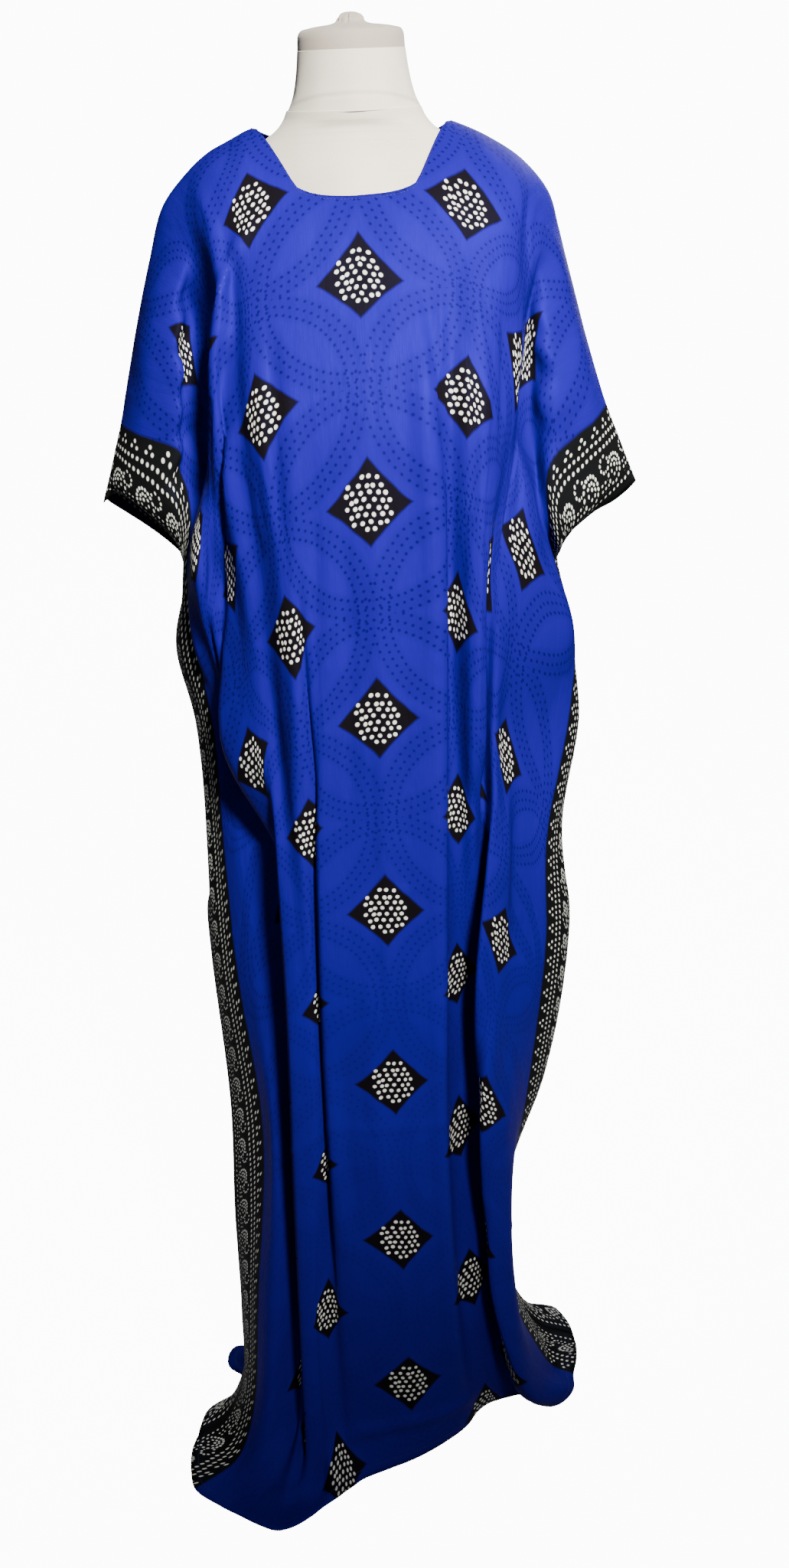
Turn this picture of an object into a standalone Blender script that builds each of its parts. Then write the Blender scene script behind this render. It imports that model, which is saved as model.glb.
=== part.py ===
"""A baati, the loose one-size Somali house dress, standing on a plain dress form.

The dress is two rectangles of printed cloth, front and back, each with its sleeves cut in one.
They are sewn along the shoulder line and down both selvedges below the cuff openings, and the
sides are longer than the stand is tall, so they run out over the floor. Metres, +Z up, +X to the
right in front view, the front faces -Y. The origin is on the underside of the round base, under
the dress's centre line and a little in front of the stand's pole.

A place on the cloth is (s, t): s runs across from the centre line to the selvedges, t runs down
from the shoulder line. Each fold is a line of the cloth with one s, which hangs through a few
knots (z, x, y). The cloth between two folds is a smooth curve through them.
"""

import math

import bmesh
import bpy
import numpy as np

HALF_WIDTH = 0.495  # centre line to selvedge, so each panel is cut 0.99 m wide
WALL = 0.0014  # thickness of the cloth's solid
SEAM_GAP = 0.0003  # between two sewn pieces
NECK_HALF = 0.096  # centre line to the neck corner, along the shoulder line
NECK_FLAT = 0.055  # half of the flat bottom of the neckline
FRONT_NECK_DROP = 0.110
BACK_NECK_DROP = 0.062
UNDERARM_Z = 1.03  # where the cuff opening ends and the side seam starts
FLOOR_Z = WALL / 2 + 0.0002  # middle of the cloth where it lies on the floor

UPPER_ROWS = 13  # shoulder line to underarm
LOWER_ROWS = 20  # underarm to hem

# Shoulder line of the right side: s, x, y, z. It falls off the shoulder into the top of the sleeve.
SHOULDER_LINE = (
    (0.000, 0.000, 0.000, 1.446),
    (0.090, 0.088, 0.004, 1.446),
    (0.140, 0.136, 0.008, 1.426),
    (0.175, 0.168, 0.010, 1.404),
    (0.205, 0.187, 0.011, 1.378),
    (0.255, 0.200, 0.012, 1.331),
    (0.350, 0.225, 0.012, 1.240),
    (0.410, 0.243, 0.010, 1.184),
    (0.495, 0.274, 0.006, 1.106),
)
LEFT_SLEEVE_OUT = 0.010  # the left sleeve hangs this much further out at its middle
LEFT_NECK_OUT = 0.006  # the neck corner lies this much further out on the left

# Side seams below the underarm, from there to the hem: z, x, y.
RIGHT_SEAM = (
    (1.03, 0.179, 0.040),
    (0.95, 0.196, 0.046),
    (0.86, 0.220, 0.040),
    (0.73, 0.204, 0.036),
    (0.668, 0.197, 0.034),
    (0.642, 0.211, 0.032),
    (0.58, 0.212, 0.030),
    (0.41, 0.182, 0.030),
    (0.27, 0.130, 0.040),
    (0.14, 0.128, 0.050),
    (0.045, 0.150, 0.050),
    (0.004, 0.180, 0.045),
    (FLOOR_Z, 0.222, 0.030),
)
LEFT_SEAM = (
    (1.03, -0.196, 0.026),
    (0.96, -0.218, 0.020),
    (0.86, -0.204, 0.014),
    (0.680, -0.198, -0.002),
    (0.656, -0.206, -0.005),
    (0.60, -0.206, -0.012),
    (0.41, -0.196, -0.030),
    (0.27, -0.200, -0.044),
    (0.14, -0.200, -0.060),
    (0.045, -0.205, -0.075),
    (0.004, -0.228, -0.090),
    (FLOOR_Z, -0.258, -0.110),
)

# Folds of the front panel: name, s, then the knots (z, x, y) from top to hem.
FRONT_FOLDS = (
    ("left seam", -0.495, (
        (1.112, -0.264, -0.004), (1.106, -0.246, -0.016), (1.088, -0.222, -0.026),
        (1.066, -0.205, -0.022), (1.045, -0.200, 0.004)) + LEFT_SEAM),
    ("left cuff edge", -0.470, (
        (1.116, -0.254, -0.026), (1.094, -0.224, -0.042), (1.068, -0.198, -0.044),
        (1.045, -0.196, -0.026), (1.02, -0.200, 0.004), (0.95, -0.216, 0.004), (0.86, -0.201, 0.002),
        (0.60, -0.201, -0.022), (0.41, -0.189, -0.040), (0.20, -0.194, -0.068), (0.045, -0.203, -0.088),
        (0.004, -0.226, -0.106), (FLOOR_Z, -0.262, -0.130))),
    ("left border middle", -0.440, (
        (1.140, -0.240, -0.034), (1.120, -0.213, -0.050), (1.100, -0.193, -0.056),
        (1.06, -0.192, -0.034), (1.02, -0.199, -0.016), (0.95, -0.204, -0.022), (0.86, -0.191, -0.014),
        (0.60, -0.187, -0.044), (0.41, -0.172, -0.062), (0.20, -0.181, -0.088), (0.045, -0.196, -0.112),
        (0.004, -0.217, -0.132), (FLOOR_Z, -0.259, -0.160))),
    ("left border edge", -0.410, (
        (1.169, -0.226, -0.040), (1.152, -0.184, -0.054), (1.136, -0.188, -0.044),
        (1.115, -0.183, -0.041), (1.085, -0.181, -0.040), (1.03, -0.191, -0.032),
        (0.95, -0.185, -0.040), (0.86, -0.178, -0.028), (0.73, -0.174, -0.048), (0.60, -0.170, -0.062),
        (0.41, -0.152, -0.086), (0.20, -0.170, -0.108), (0.045, -0.186, -0.132),
        (0.004, -0.206, -0.152), (FLOOR_Z, -0.250, -0.186))),
    ("left sleeve lower", -0.375, (
        (1.203, -0.216, -0.044), (1.188, -0.179, -0.058), (1.172, -0.184, -0.042),
        (1.150, -0.176, -0.042), (1.12, -0.165, -0.044), (1.07, -0.172, -0.056), (1.03, -0.187, -0.054),
        (0.95, -0.188, -0.048), (0.86, -0.156, -0.038), (0.73, -0.158, -0.062), (0.60, -0.144, -0.080),
        (0.41, -0.136, -0.108), (0.20, -0.150, -0.126), (0.045, -0.170, -0.152),
        (0.004, -0.190, -0.174), (FLOOR_Z, -0.220, -0.208))),
    ("left side ridge", -0.340, (
        (1.236, -0.209, -0.044), (1.222, -0.175, -0.058), (1.208, -0.180, -0.044),
        (1.185, -0.172, -0.041), (1.15, -0.159, -0.036), (1.11, -0.166, -0.052), (1.06, -0.180, -0.072),
        (1.03, -0.182, -0.076), (0.95, -0.174, -0.060), (0.86, -0.134, -0.048), (0.73, -0.136, -0.072),
        (0.60, -0.108, -0.084), (0.41, -0.108, -0.090), (0.20, -0.123, -0.112), (0.045, -0.150, -0.148),
        (0.004, -0.172, -0.186), (FLOOR_Z, -0.192, -0.224))),
    ("left sleeve middle", -0.300, (
        (1.274, -0.202, -0.040), (1.262, -0.173, -0.056), (1.250, -0.178, -0.036),
        (1.228, -0.169, -0.038), (1.19, -0.155, -0.040), (1.14, -0.157, -0.060), (1.07, -0.170, -0.090),
        (1.03, -0.172, -0.092), (0.99, -0.168, -0.079), (0.95, -0.160, -0.066), (0.86, -0.138, -0.062),
        (0.73, -0.102, -0.090), (0.60, -0.082, -0.092), (0.41, -0.084, -0.097), (0.20, -0.098, -0.107),
        (0.045, -0.130, -0.144), (0.004, -0.158, -0.194), (FLOOR_Z, -0.172, -0.235))),
    ("left panel edge", -0.250, (
        (1.322, -0.186, -0.034), (1.308, -0.168, -0.048), (1.294, -0.170, -0.036),
        (1.270, -0.163, -0.030), (1.230, -0.144, -0.042), (1.16, -0.152, -0.064),
        (1.09, -0.159, -0.090), (1.03, -0.157, -0.080), (0.99, -0.157, -0.084), (0.95, -0.161, -0.080),
        (0.86, -0.165, -0.086), (0.73, -0.105, -0.104), (0.60, -0.104, -0.110), (0.41, -0.112, -0.115),
        (0.20, -0.120, -0.121), (0.045, -0.130, -0.157), (0.004, -0.145, -0.205),
        (FLOOR_Z, -0.151, -0.243))),
    ("left second column", -0.202, (
        (1.352, -0.166, -0.038), (1.290, -0.141, -0.060), (1.221, -0.138, -0.078),
        (1.14, -0.148, -0.094), (1.03, -0.140, -0.092), (0.95, -0.132, -0.106), (0.86, -0.128, -0.114),
        (0.73, -0.089, -0.122), (0.60, -0.083, -0.126), (0.41, -0.087, -0.131), (0.20, -0.096, -0.134),
        (0.045, -0.118, -0.160), (0.004, -0.132, -0.200), (FLOOR_Z, -0.134, -0.240))),
    ("left ridge below neck", -0.165, (
        (1.370, -0.146, -0.054), (1.290, -0.129, -0.094), (1.221, -0.138, -0.108),
        (1.14, -0.138, -0.112), (1.03, -0.125, -0.116), (0.86, -0.112, -0.122), (0.73, -0.110, -0.137),
        (0.60, -0.110, -0.142), (0.41, -0.115, -0.147), (0.20, -0.119, -0.151), (0.045, -0.118, -0.176),
        (0.004, -0.114, -0.200), (FLOOR_Z, -0.114, -0.228))),
    ("left valley", -0.140, (
        (1.380, -0.128, -0.058), (1.290, -0.117, -0.088), (1.18, -0.119, -0.110),
        (1.03, -0.108, -0.120), (0.86, -0.100, -0.122), (0.73, -0.096, -0.141), (0.60, -0.093, -0.147),
        (0.41, -0.092, -0.150), (0.20, -0.103, -0.153), (0.045, -0.102, -0.173),
        (0.004, -0.102, -0.190), (FLOOR_Z, -0.100, -0.216))),
    ("left strip", -0.120, (
        (1.384, -0.114, -0.060), (1.290, -0.108, -0.096), (1.18, -0.107, -0.124),
        (1.03, -0.094, -0.132), (0.86, -0.088, -0.140), (0.73, -0.082, -0.144), (0.60, -0.080, -0.142),
        (0.41, -0.081, -0.144), (0.20, -0.098, -0.150), (0.045, -0.094, -0.168),
        (FLOOR_Z, -0.086, -0.206))),
    ("left first column", -0.101, (
        (1.385, -0.100, -0.062), (1.290, -0.100, -0.099), (1.18, -0.098, -0.130),
        (1.03, -0.084, -0.140), (0.86, -0.074, -0.146), (0.73, -0.071, -0.139), (0.60, -0.066, -0.132),
        (0.41, -0.068, -0.133), (0.20, -0.087, -0.146), (0.045, -0.084, -0.164),
        (FLOOR_Z, -0.074, -0.196))),
    ("left tuck", -0.085, (
        (1.378, -0.085, -0.066), (1.290, -0.085, -0.101), (1.18, -0.083, -0.133),
        (1.03, -0.073, -0.140), (0.86, -0.064, -0.138), (0.73, -0.063, -0.142), (0.60, -0.066, -0.142),
        (0.41, -0.068, -0.142), (0.20, -0.078, -0.146), (0.045, -0.076, -0.160),
        (FLOOR_Z, -0.066, -0.190))),
    ("left of centre", -0.070, (
        (1.373, -0.071, -0.070), (1.290, -0.070, -0.102), (1.18, -0.068, -0.135),
        (1.03, -0.064, -0.143), (0.86, -0.064, -0.148), (0.73, -0.070, -0.149), (0.60, -0.073, -0.150),
        (0.41, -0.074, -0.150), (0.20, -0.072, -0.151), (0.045, -0.066, -0.160),
        (FLOOR_Z, -0.056, -0.182))),
    ("near left of centre", -0.036, (
        (1.370, -0.037, -0.072), (1.290, -0.036, -0.103), (1.18, -0.036, -0.137),
        (1.03, -0.036, -0.145), (0.60, -0.037, -0.151), (0.20, -0.037, -0.153), (0.045, -0.032, -0.156),
        (FLOOR_Z, -0.028, -0.170))),
    ("centre", 0.0, (
        (1.370, 0.0, -0.072), (1.290, 0.0, -0.104), (1.18, 0.0, -0.138), (1.03, 0.0, -0.146),
        (0.60, 0.0, -0.150), (0.20, 0.002, -0.152), (0.045, 0.004, -0.150), (FLOOR_Z, 0.006, -0.156))),
    ("near right of centre", 0.036, (
        (1.370, 0.037, -0.072), (1.290, 0.036, -0.103), (1.18, 0.036, -0.137), (1.03, 0.036, -0.145),
        (0.60, 0.034, -0.150), (0.41, 0.032, -0.150), (0.20, 0.034, -0.148), (0.045, 0.038, -0.138),
        (FLOOR_Z, 0.040, -0.136))),
    ("right valley rim", 0.064, (
        (1.373, 0.065, -0.070), (1.290, 0.064, -0.101), (1.18, 0.067, -0.137), (1.03, 0.068, -0.143),
        (0.86, 0.063, -0.146), (0.60, 0.057, -0.148), (0.41, 0.053, -0.148), (0.20, 0.059, -0.142),
        (0.045, 0.068, -0.120), (FLOOR_Z, 0.070, -0.112))),
    ("right valley wall", 0.084, (
        (1.383, 0.084, -0.064), (1.290, 0.082, -0.098), (1.18, 0.077, -0.124), (1.03, 0.073, -0.120),
        (0.86, 0.069, -0.118), (0.60, 0.062, -0.114), (0.41, 0.060, -0.112), (0.20, 0.066, -0.110),
        (0.045, 0.080, -0.104), (FLOOR_Z, 0.084, -0.092))),
    ("right first column", 0.101, (
        (1.385, 0.100, -0.062), (1.290, 0.098, -0.098), (1.18, 0.094, -0.130), (1.03, 0.081, -0.126),
        (0.86, 0.077, -0.117), (0.80, 0.078, -0.110), (0.60, 0.073, -0.092), (0.41, 0.071, -0.088),
        (0.20, 0.081, -0.097), (0.045, 0.094, -0.092), (FLOOR_Z, 0.098, -0.080))),
    ("right strip", 0.132, (
        (1.380, 0.128, -0.060), (1.290, 0.123, -0.094), (1.221, 0.117, -0.114), (1.18, 0.114, -0.124),
        (1.03, 0.096, -0.139), (0.86, 0.092, -0.135), (0.80, 0.090, -0.117), (0.73, 0.092, -0.104),
        (0.60, 0.091, -0.074), (0.41, 0.090, -0.070), (0.20, 0.099, -0.081), (0.045, 0.108, -0.086),
        (FLOOR_Z, 0.113, -0.074))),
    ("right strip edge", 0.165, (
        (1.370, 0.150, -0.056), (1.290, 0.139, -0.086), (1.221, 0.132, -0.098), (1.18, 0.128, -0.106),
        (1.03, 0.109, -0.132), (0.86, 0.106, -0.122), (0.80, 0.100, -0.107), (0.73, 0.104, -0.086),
        (0.60, 0.114, -0.068), (0.41, 0.112, -0.062), (0.20, 0.113, -0.066), (0.045, 0.117, -0.081),
        (FLOOR_Z, 0.128, -0.070))),
    ("right second column", 0.202, (
        (1.350, 0.160, -0.050), (1.290, 0.152, -0.068), (1.221, 0.147, -0.082), (1.12, 0.131, -0.094),
        (1.03, 0.109, -0.108), (0.95, 0.092, -0.106), (0.86, 0.086, -0.104), (0.80, 0.090, -0.098),
        (0.73, 0.118, -0.080), (0.60, 0.126, -0.066), (0.41, 0.123, -0.061), (0.20, 0.121, -0.064),
        (0.045, 0.130, -0.078), (FLOOR_Z, 0.140, -0.068))),
    ("right inner fold", 0.235, (
        (1.326, 0.172, -0.050), (1.280, 0.158, -0.058), (1.221, 0.150, -0.066), (1.12, 0.136, -0.088),
        (1.03, 0.120, -0.098), (0.95, 0.110, -0.094), (0.86, 0.104, -0.088), (0.80, 0.106, -0.088),
        (0.73, 0.112, -0.098), (0.60, 0.104, -0.090), (0.41, 0.108, -0.086), (0.20, 0.127, -0.078),
        (0.045, 0.140, -0.086), (FLOOR_Z, 0.148, -0.076))),
    ("right panel edge", 0.262, (
        (1.316, 0.190, -0.032), (1.302, 0.170, -0.046), (1.289, 0.166, -0.044), (1.262, 0.158, -0.044),
        (1.222, 0.152, -0.054), (1.13, 0.141, -0.078), (1.06, 0.124, -0.092), (1.03, 0.124, -0.096),
        (0.86, 0.115, -0.106), (0.80, 0.114, -0.112), (0.73, 0.104, -0.122), (0.60, 0.090, -0.128),
        (0.50, 0.090, -0.112), (0.41, 0.100, -0.104), (0.20, 0.108, -0.084), (0.045, 0.130, -0.098),
        (FLOOR_Z, 0.158, -0.084))),
    ("right third column", 0.303, (
        (1.276, 0.197, -0.036), (1.264, 0.170, -0.054), (1.251, 0.163, -0.046), (1.225, 0.156, -0.044),
        (1.17, 0.146, -0.058), (1.11, 0.149, -0.084), (1.06, 0.146, -0.093), (1.03, 0.148, -0.086),
        (0.95, 0.140, -0.080), (0.86, 0.129, -0.076), (0.80, 0.129, -0.084), (0.73, 0.129, -0.104),
        (0.60, 0.116, -0.108), (0.50, 0.101, -0.127), (0.41, 0.092, -0.128), (0.20, 0.106, -0.102),
        (0.045, 0.136, -0.112), (FLOOR_Z, 0.178, -0.088))),
    ("right panel middle", 0.335, (
        (1.244, 0.205, -0.040), (1.231, 0.172, -0.060), (1.218, 0.167, -0.048), (1.190, 0.161, -0.044),
        (1.15, 0.154, -0.050), (1.10, 0.160, -0.072), (1.06, 0.163, -0.080), (1.03, 0.166, -0.072),
        (0.95, 0.170, -0.062), (0.86, 0.150, -0.056), (0.73, 0.136, -0.074), (0.60, 0.134, -0.084),
        (0.50, 0.126, -0.098), (0.41, 0.116, -0.112), (0.20, 0.102, -0.121), (0.045, 0.150, -0.116),
        (FLOOR_Z, 0.194, -0.080))),
    ("right sleeve lower", 0.370, (
        (1.211, 0.213, -0.044), (1.196, 0.183, -0.062), (1.183, 0.170, -0.062), (1.166, 0.168, -0.052),
        (1.13, 0.166, -0.044), (1.08, 0.167, -0.056), (1.03, 0.183, -0.044), (0.95, 0.203, -0.034),
        (0.86, 0.178, -0.034), (0.73, 0.158, -0.054), (0.60, 0.156, -0.062), (0.41, 0.134, -0.086),
        (0.20, 0.130, -0.104), (0.045, 0.163, -0.090), (FLOOR_Z, 0.208, -0.062))),
    ("right border edge", 0.410, (
        (1.165, 0.226, -0.038), (1.151, 0.206, -0.052), (1.135, 0.185, -0.062), (1.119, 0.176, -0.064),
        (1.07, 0.178, -0.054), (1.03, 0.188, -0.020), (0.95, 0.212, -0.004), (0.86, 0.206, -0.010),
        (0.73, 0.176, -0.044), (0.60, 0.174, -0.048), (0.41, 0.151, -0.052), (0.27, 0.126, -0.058),
        (0.14, 0.134, -0.060), (0.045, 0.170, -0.048), (0.004, 0.190, -0.030),
        (FLOOR_Z, 0.212, -0.038))),
    ("right border middle", 0.440, (
        (1.140, 0.236, -0.032), (1.122, 0.212, -0.048), (1.104, 0.190, -0.060), (1.087, 0.184, -0.062),
        (1.05, 0.188, -0.048), (1.02, 0.195, 0.003), (0.95, 0.211, 0.020), (0.86, 0.219, 0.010),
        (0.73, 0.192, -0.016), (0.60, 0.194, -0.022), (0.41, 0.168, -0.026), (0.27, 0.127, -0.024),
        (0.14, 0.132, -0.022), (0.045, 0.166, -0.010), (0.004, 0.190, -0.004),
        (FLOOR_Z, 0.220, -0.012))),
    ("right cuff edge", 0.470, (
        (1.112, 0.252, -0.022), (1.090, 0.230, -0.038), (1.066, 0.205, -0.048), (1.048, 0.197, -0.034),
        (1.034, 0.196, -0.004), (1.014, 0.190, 0.020), (0.95, 0.203, 0.034), (0.86, 0.223, 0.026),
        (0.73, 0.202, 0.010), (0.60, 0.209, 0.006), (0.41, 0.180, 0.004), (0.27, 0.130, 0.016),
        (0.14, 0.130, 0.026), (0.045, 0.158, 0.028), (0.004, 0.187, 0.022), (FLOOR_Z, 0.223, 0.010))),
    ("right seam", 0.495, (
        (1.094, 0.266, -0.002), (1.084, 0.250, -0.010), (1.076, 0.232, -0.016), (1.060, 0.210, -0.020),
        (1.046, 0.197, -0.008), (1.038, 0.188, 0.017)) + RIGHT_SEAM),
)

# Back panel: height, how far back the cloth hangs, and how deep its folds are there.
BACK_SECTIONS = (
    (1.437, 0.068, 0.0),
    (1.422, 0.075, 0.0),
    (1.400, 0.086, 0.0),
    (1.360, 0.100, 0.0),
    (1.300, 0.118, 0.05),
    (1.180, 0.128, 0.25),
    (1.030, 0.136, 0.60),
    (0.860, 0.142, 0.90),
    (0.600, 0.148, 1.0),
    (0.300, 0.152, 1.0),
    (0.045, 0.160, 1.0),
)
# Folds of the back panel: s of the fold's middle, half of its width in s, depth.
BACK_FOLDS = (
    (-0.410, 0.055, 0.036),
    (-0.297, 0.062, 0.048),
    (-0.165, 0.062, 0.044),
    (-0.050, 0.054, 0.034),
    (0.064, 0.056, 0.038),
    (0.184, 0.060, 0.046),
    (0.303, 0.058, 0.044),
    (0.410, 0.050, 0.034),
)
BACK_SPREAD = 0.030  # how far the back runs out over the floor
BACK_ASIDE = 0.35  # share of its sideways run on the left, where it stays behind the front
BACK_DRIFT = 0.010  # how far a fold of the back wanders sideways on its way down
BACK_ROUND = 0.80  # power that squares the back's level line, 1 for an ellipse

# Dress form, from the bottom of the torso up: z, half width, half depth, how far back it is.
TORSO_SECTIONS = (
    (0.742, 0.090, 0.052, 0.014),
    (0.745, 0.120, 0.074, 0.014),
    (0.756, 0.136, 0.088, 0.013),
    (0.800, 0.144, 0.095, 0.012),
    (0.860, 0.145, 0.096, 0.011),
    (0.950, 0.133, 0.091, 0.007),
    (1.050, 0.114, 0.089, 0.004),
    (1.130, 0.124, 0.104, -0.006),
    (1.190, 0.134, 0.114, -0.011),
    (1.240, 0.140, 0.111, -0.006),
    (1.290, 0.146, 0.098, 0.005),
    (1.330, 0.152, 0.085, 0.010),
    (1.360, 0.157, 0.074, 0.012),
    (1.385, 0.156, 0.061, 0.013),
    (1.400, 0.147, 0.053, 0.0125),
    (1.411, 0.131, 0.048, 0.012),
    (1.421, 0.112, 0.046, 0.012),
    (1.430, 0.093, 0.043, 0.009),
    (1.440, 0.078, 0.044, 0.008),
    (1.450, 0.069, 0.046, 0.0075),
    (1.4590, 0.0645, 0.0495, 0.008),
)
NECK_SECTIONS = (
    (1.4593, 0.0634, 0.0505, 0.008),
    (1.468, 0.0590, 0.0500, 0.007),
    (1.480, 0.0556, 0.0492, 0.007),
    (1.494, 0.0530, 0.0486, 0.0065),
    (1.5075, 0.0512, 0.0480, 0.006),
)
CAP_SECTIONS = (
    (1.5078, 0.0509, 0.0478, 0.006),
    (1.5140, 0.0506, 0.0478, 0.006),
    (1.5200, 0.0500, 0.0470, 0.006),
    (1.5240, 0.0478, 0.0448, 0.006),
    (1.5262, 0.0400, 0.0375, 0.006),
    (1.5278, 0.0290, 0.0272, 0.006),
    (1.5290, 0.0190, 0.0180, 0.006),
    (1.5310, 0.0135, 0.0130, 0.006),
    (1.5338, 0.0115, 0.0108, 0.006),
    (1.5362, 0.0095, 0.0088, 0.006),
    (1.5380, 0.0060, 0.0058, 0.006),
    (1.5388, 0.0022, 0.0022, 0.006),
)
NECK_TILT = 0.28  # the neck and its cap rise this steeply towards the back
TILT_FROM = 1.430  # height where the tilt starts
TILT_FULL = 1.455
FORM_SIDES = 36
POLE_RADIUS = 0.0125
POLE_SIDES = 24
BASE_RADIUS = 0.115
BASE_HEIGHT = 0.018
BASE_EDGE = 0.004
FORM_BACK = 0.015  # the stand's axis lies this far behind the middle of the dress


def clear_scene():
    for item in list(bpy.data.objects):
        bpy.data.objects.remove(item, do_unlink=True)


def material(name, colour, roughness, metallic=0.0):
    made = bpy.data.materials.new(name)
    made.use_nodes = True
    shader = made.node_tree.nodes["Principled BSDF"]
    shader.inputs["Base Color"].default_value = (*colour, 1.0)
    shader.inputs["Roughness"].default_value = roughness
    shader.inputs["Metallic"].default_value = metallic
    return made


def unit(vectors):
    return vectors / np.maximum(np.linalg.norm(vectors, axis=-1, keepdims=True), 1e-12)


def through(knots, fractions):
    """Points at the given fractions of the length of a smooth curve through the knots.

    It is a centripetal Catmull-Rom curve, which bends softly and doesn't loop at close knots.
    """
    knots = np.asarray(knots, float)
    knots = np.vstack((2 * knots[0] - knots[1], knots, 2 * knots[-1] - knots[-2]))
    dense = [curve_piece(*knots[i : i + 4], np.linspace(0, 1, 13)[:-1]) for i in range(len(knots) - 3)]
    line = np.vstack(dense + [knots[-2:-1]])
    length = np.concatenate(([0.0], np.cumsum(np.linalg.norm(np.diff(line, axis=0), axis=1))))
    wanted = np.asarray(fractions) * length[-1]
    return np.stack([np.interp(wanted, length, line[:, k]) for k in range(3)], axis=1)


def curve_piece(a, b, c, d, u):
    """The curve from b to c of a centripetal Catmull-Rom curve, at u from 0 to 1."""
    def step(p, q):
        return np.maximum(np.linalg.norm(q - p, axis=-1) ** 0.5, 1e-4)[..., None]

    d0, d1, d2 = step(a, b), step(b, c), step(c, d)
    out_b = ((b - a) / d0 - (c - a) / (d0 + d1) + (c - b) / d1) * d1
    into_c = ((c - b) / d1 - (d - b) / (d1 + d2) + (d - c) / d2) * d1
    u = np.asarray(u)[..., None]
    return (
        (2 * u**3 - 3 * u**2 + 1) * b
        + (u**3 - 2 * u**2 + u) * out_b
        + (3 * u**2 - 2 * u**3) * c
        + (u**3 - u**2) * into_c
    )


def smoothstep(low, high, value):
    u = min(max((value - low) / (high - low), 0.0), 1.0)
    return u * u * (3 - 2 * u)


def bump(value, middle, half):
    """A smooth hill from 0 up to 1 at its middle and down to 0 again."""
    u = np.clip((value - middle) / half, -1, 1)
    return np.cos(u * math.pi / 2) ** 2


def shoulder_point(s):
    """Where the shoulder line has this s."""
    table = np.array(SHOULDER_LINE)
    x, y, z = (np.interp(abs(s), table[:, 0], table[:, k]) for k in (1, 2, 3))
    if s < 0:
        x += LEFT_SLEEVE_OUT * math.sin(math.pi * smoothstep(NECK_HALF, HALF_WIDTH + 0.06, -s))
        x = -x - LEFT_NECK_OUT * bump(-s, NECK_HALF, NECK_HALF)
    return np.array((x, y, z))


def neck_drop(s, bottom):
    """How far below the shoulder line the neckline is cut at this s."""
    s = abs(s)
    if s >= NECK_HALF:
        return 0.0
    corner = bottom * 0.90
    if s > NECK_FLAT:
        return corner * (NECK_HALF - s) / (NECK_HALF - NECK_FLAT)
    return bottom - (bottom - corner) * (s / NECK_FLAT) ** 4


def fold_path(s, knots, side):
    """The knots of a fold from the shoulder line down. side is -1 at the front and 1 at the back."""
    start = shoulder_point(s)
    over = start + np.array((0.0, side * 0.013, -0.003))
    return np.vstack((start, over, [(x, y, z) for z, x, y in knots]))


def path_rows(path, drop):
    """Rows of points down a fold: UPPER_ROWS steps to the underarm's height, then LOWER_ROWS."""
    fine = through(path, np.linspace(0, 1, 601))
    fine[:, 2] = np.maximum(fine[:, 2], FLOOR_Z)
    length = np.concatenate(([0.0], np.cumsum(np.linalg.norm(np.diff(fine, axis=0), axis=1))))
    arm = np.interp(-UNDERARM_Z, -fine[:, 2], length)
    upper = drop + (arm - drop) * np.linspace(0, 1, UPPER_ROWS + 1)
    lower = arm + (length[-1] - arm) * np.linspace(0, 1, LOWER_ROWS + 1)[1:]
    wanted = np.concatenate((upper, lower))
    return np.stack([np.interp(wanted, length, fine[:, k]) for k in range(3)], axis=1)


def across(positions, folds, columns):
    """Rows of points at every column, from rows of points at the folds. Both run in s."""
    first = 2 * folds[:, :1] - folds[:, 1:2]
    last = 2 * folds[:, -1:] - folds[:, -2:-1]
    padded = np.concatenate((first, folds, last), axis=1)
    made = []
    for s in columns:
        j = int(np.clip(np.searchsorted(positions, s, side="right") - 1, 0, len(positions) - 2))
        u = (s - positions[j]) / (positions[j + 1] - positions[j])
        a, b, c, d = (padded[:, j + k] for k in range(4))
        made.append(curve_piece(a, b, c, d, np.full(len(folds), u)))
    return np.stack(made, axis=1)


def front_rows(columns):
    positions = [fold[1] for fold in FRONT_FOLDS]
    rows = [path_rows(fold_path(s, knots, -1), 0.0) for _, s, knots in FRONT_FOLDS]
    made = across(positions, np.stack(rows, axis=1), columns)
    return cut_neckline(made, columns, FRONT_NECK_DROP)


def cut_neckline(rows, columns, bottom):
    """Starts each column in the neckline at the cut edge instead of at the shoulder line."""
    made = rows.copy()
    upper = slice(0, UPPER_ROWS + 1)
    for j, s in enumerate(columns):
        drop = neck_drop(s, bottom)
        if drop > 0:
            line = rows[upper, j]
            length = np.concatenate(([0.0], np.cumsum(np.linalg.norm(np.diff(line, axis=0), axis=1))))
            wanted = drop + (length[-1] - drop) * np.linspace(0, 1, UPPER_ROWS + 1)
            for k in range(3):
                made[upper, j, k] = np.interp(wanted, length, line[:, k])
    return made


def on_seam(seam, z):
    table = np.array(seam)[::-1]
    return np.array([np.interp(z, table[:, 0], table[:, k]) for k in (1, 2)])


def back_arc(z):
    """The back's level line from the right seam round to the left one, without folds."""
    table = np.array(BACK_SECTIONS)[::-1]
    reach = np.interp(z, table[:, 0], table[:, 1])
    left, right = on_seam(LEFT_SEAM, z), on_seam(RIGHT_SEAM, z)
    angle = np.linspace(0, math.pi, 241)
    c, s = np.cos(angle), np.sin(angle)
    x = (left[0] + right[0]) / 2 + (right[0] - left[0]) / 2 * np.sign(c) * np.abs(c) ** BACK_ROUND
    bulge = s**BACK_ROUND
    y = (right[1] + (left[1] - right[1]) * (1 - c) / 2) * (1 - bulge) + reach * bulge
    return np.stack((x, y), axis=1)[::-1]


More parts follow.
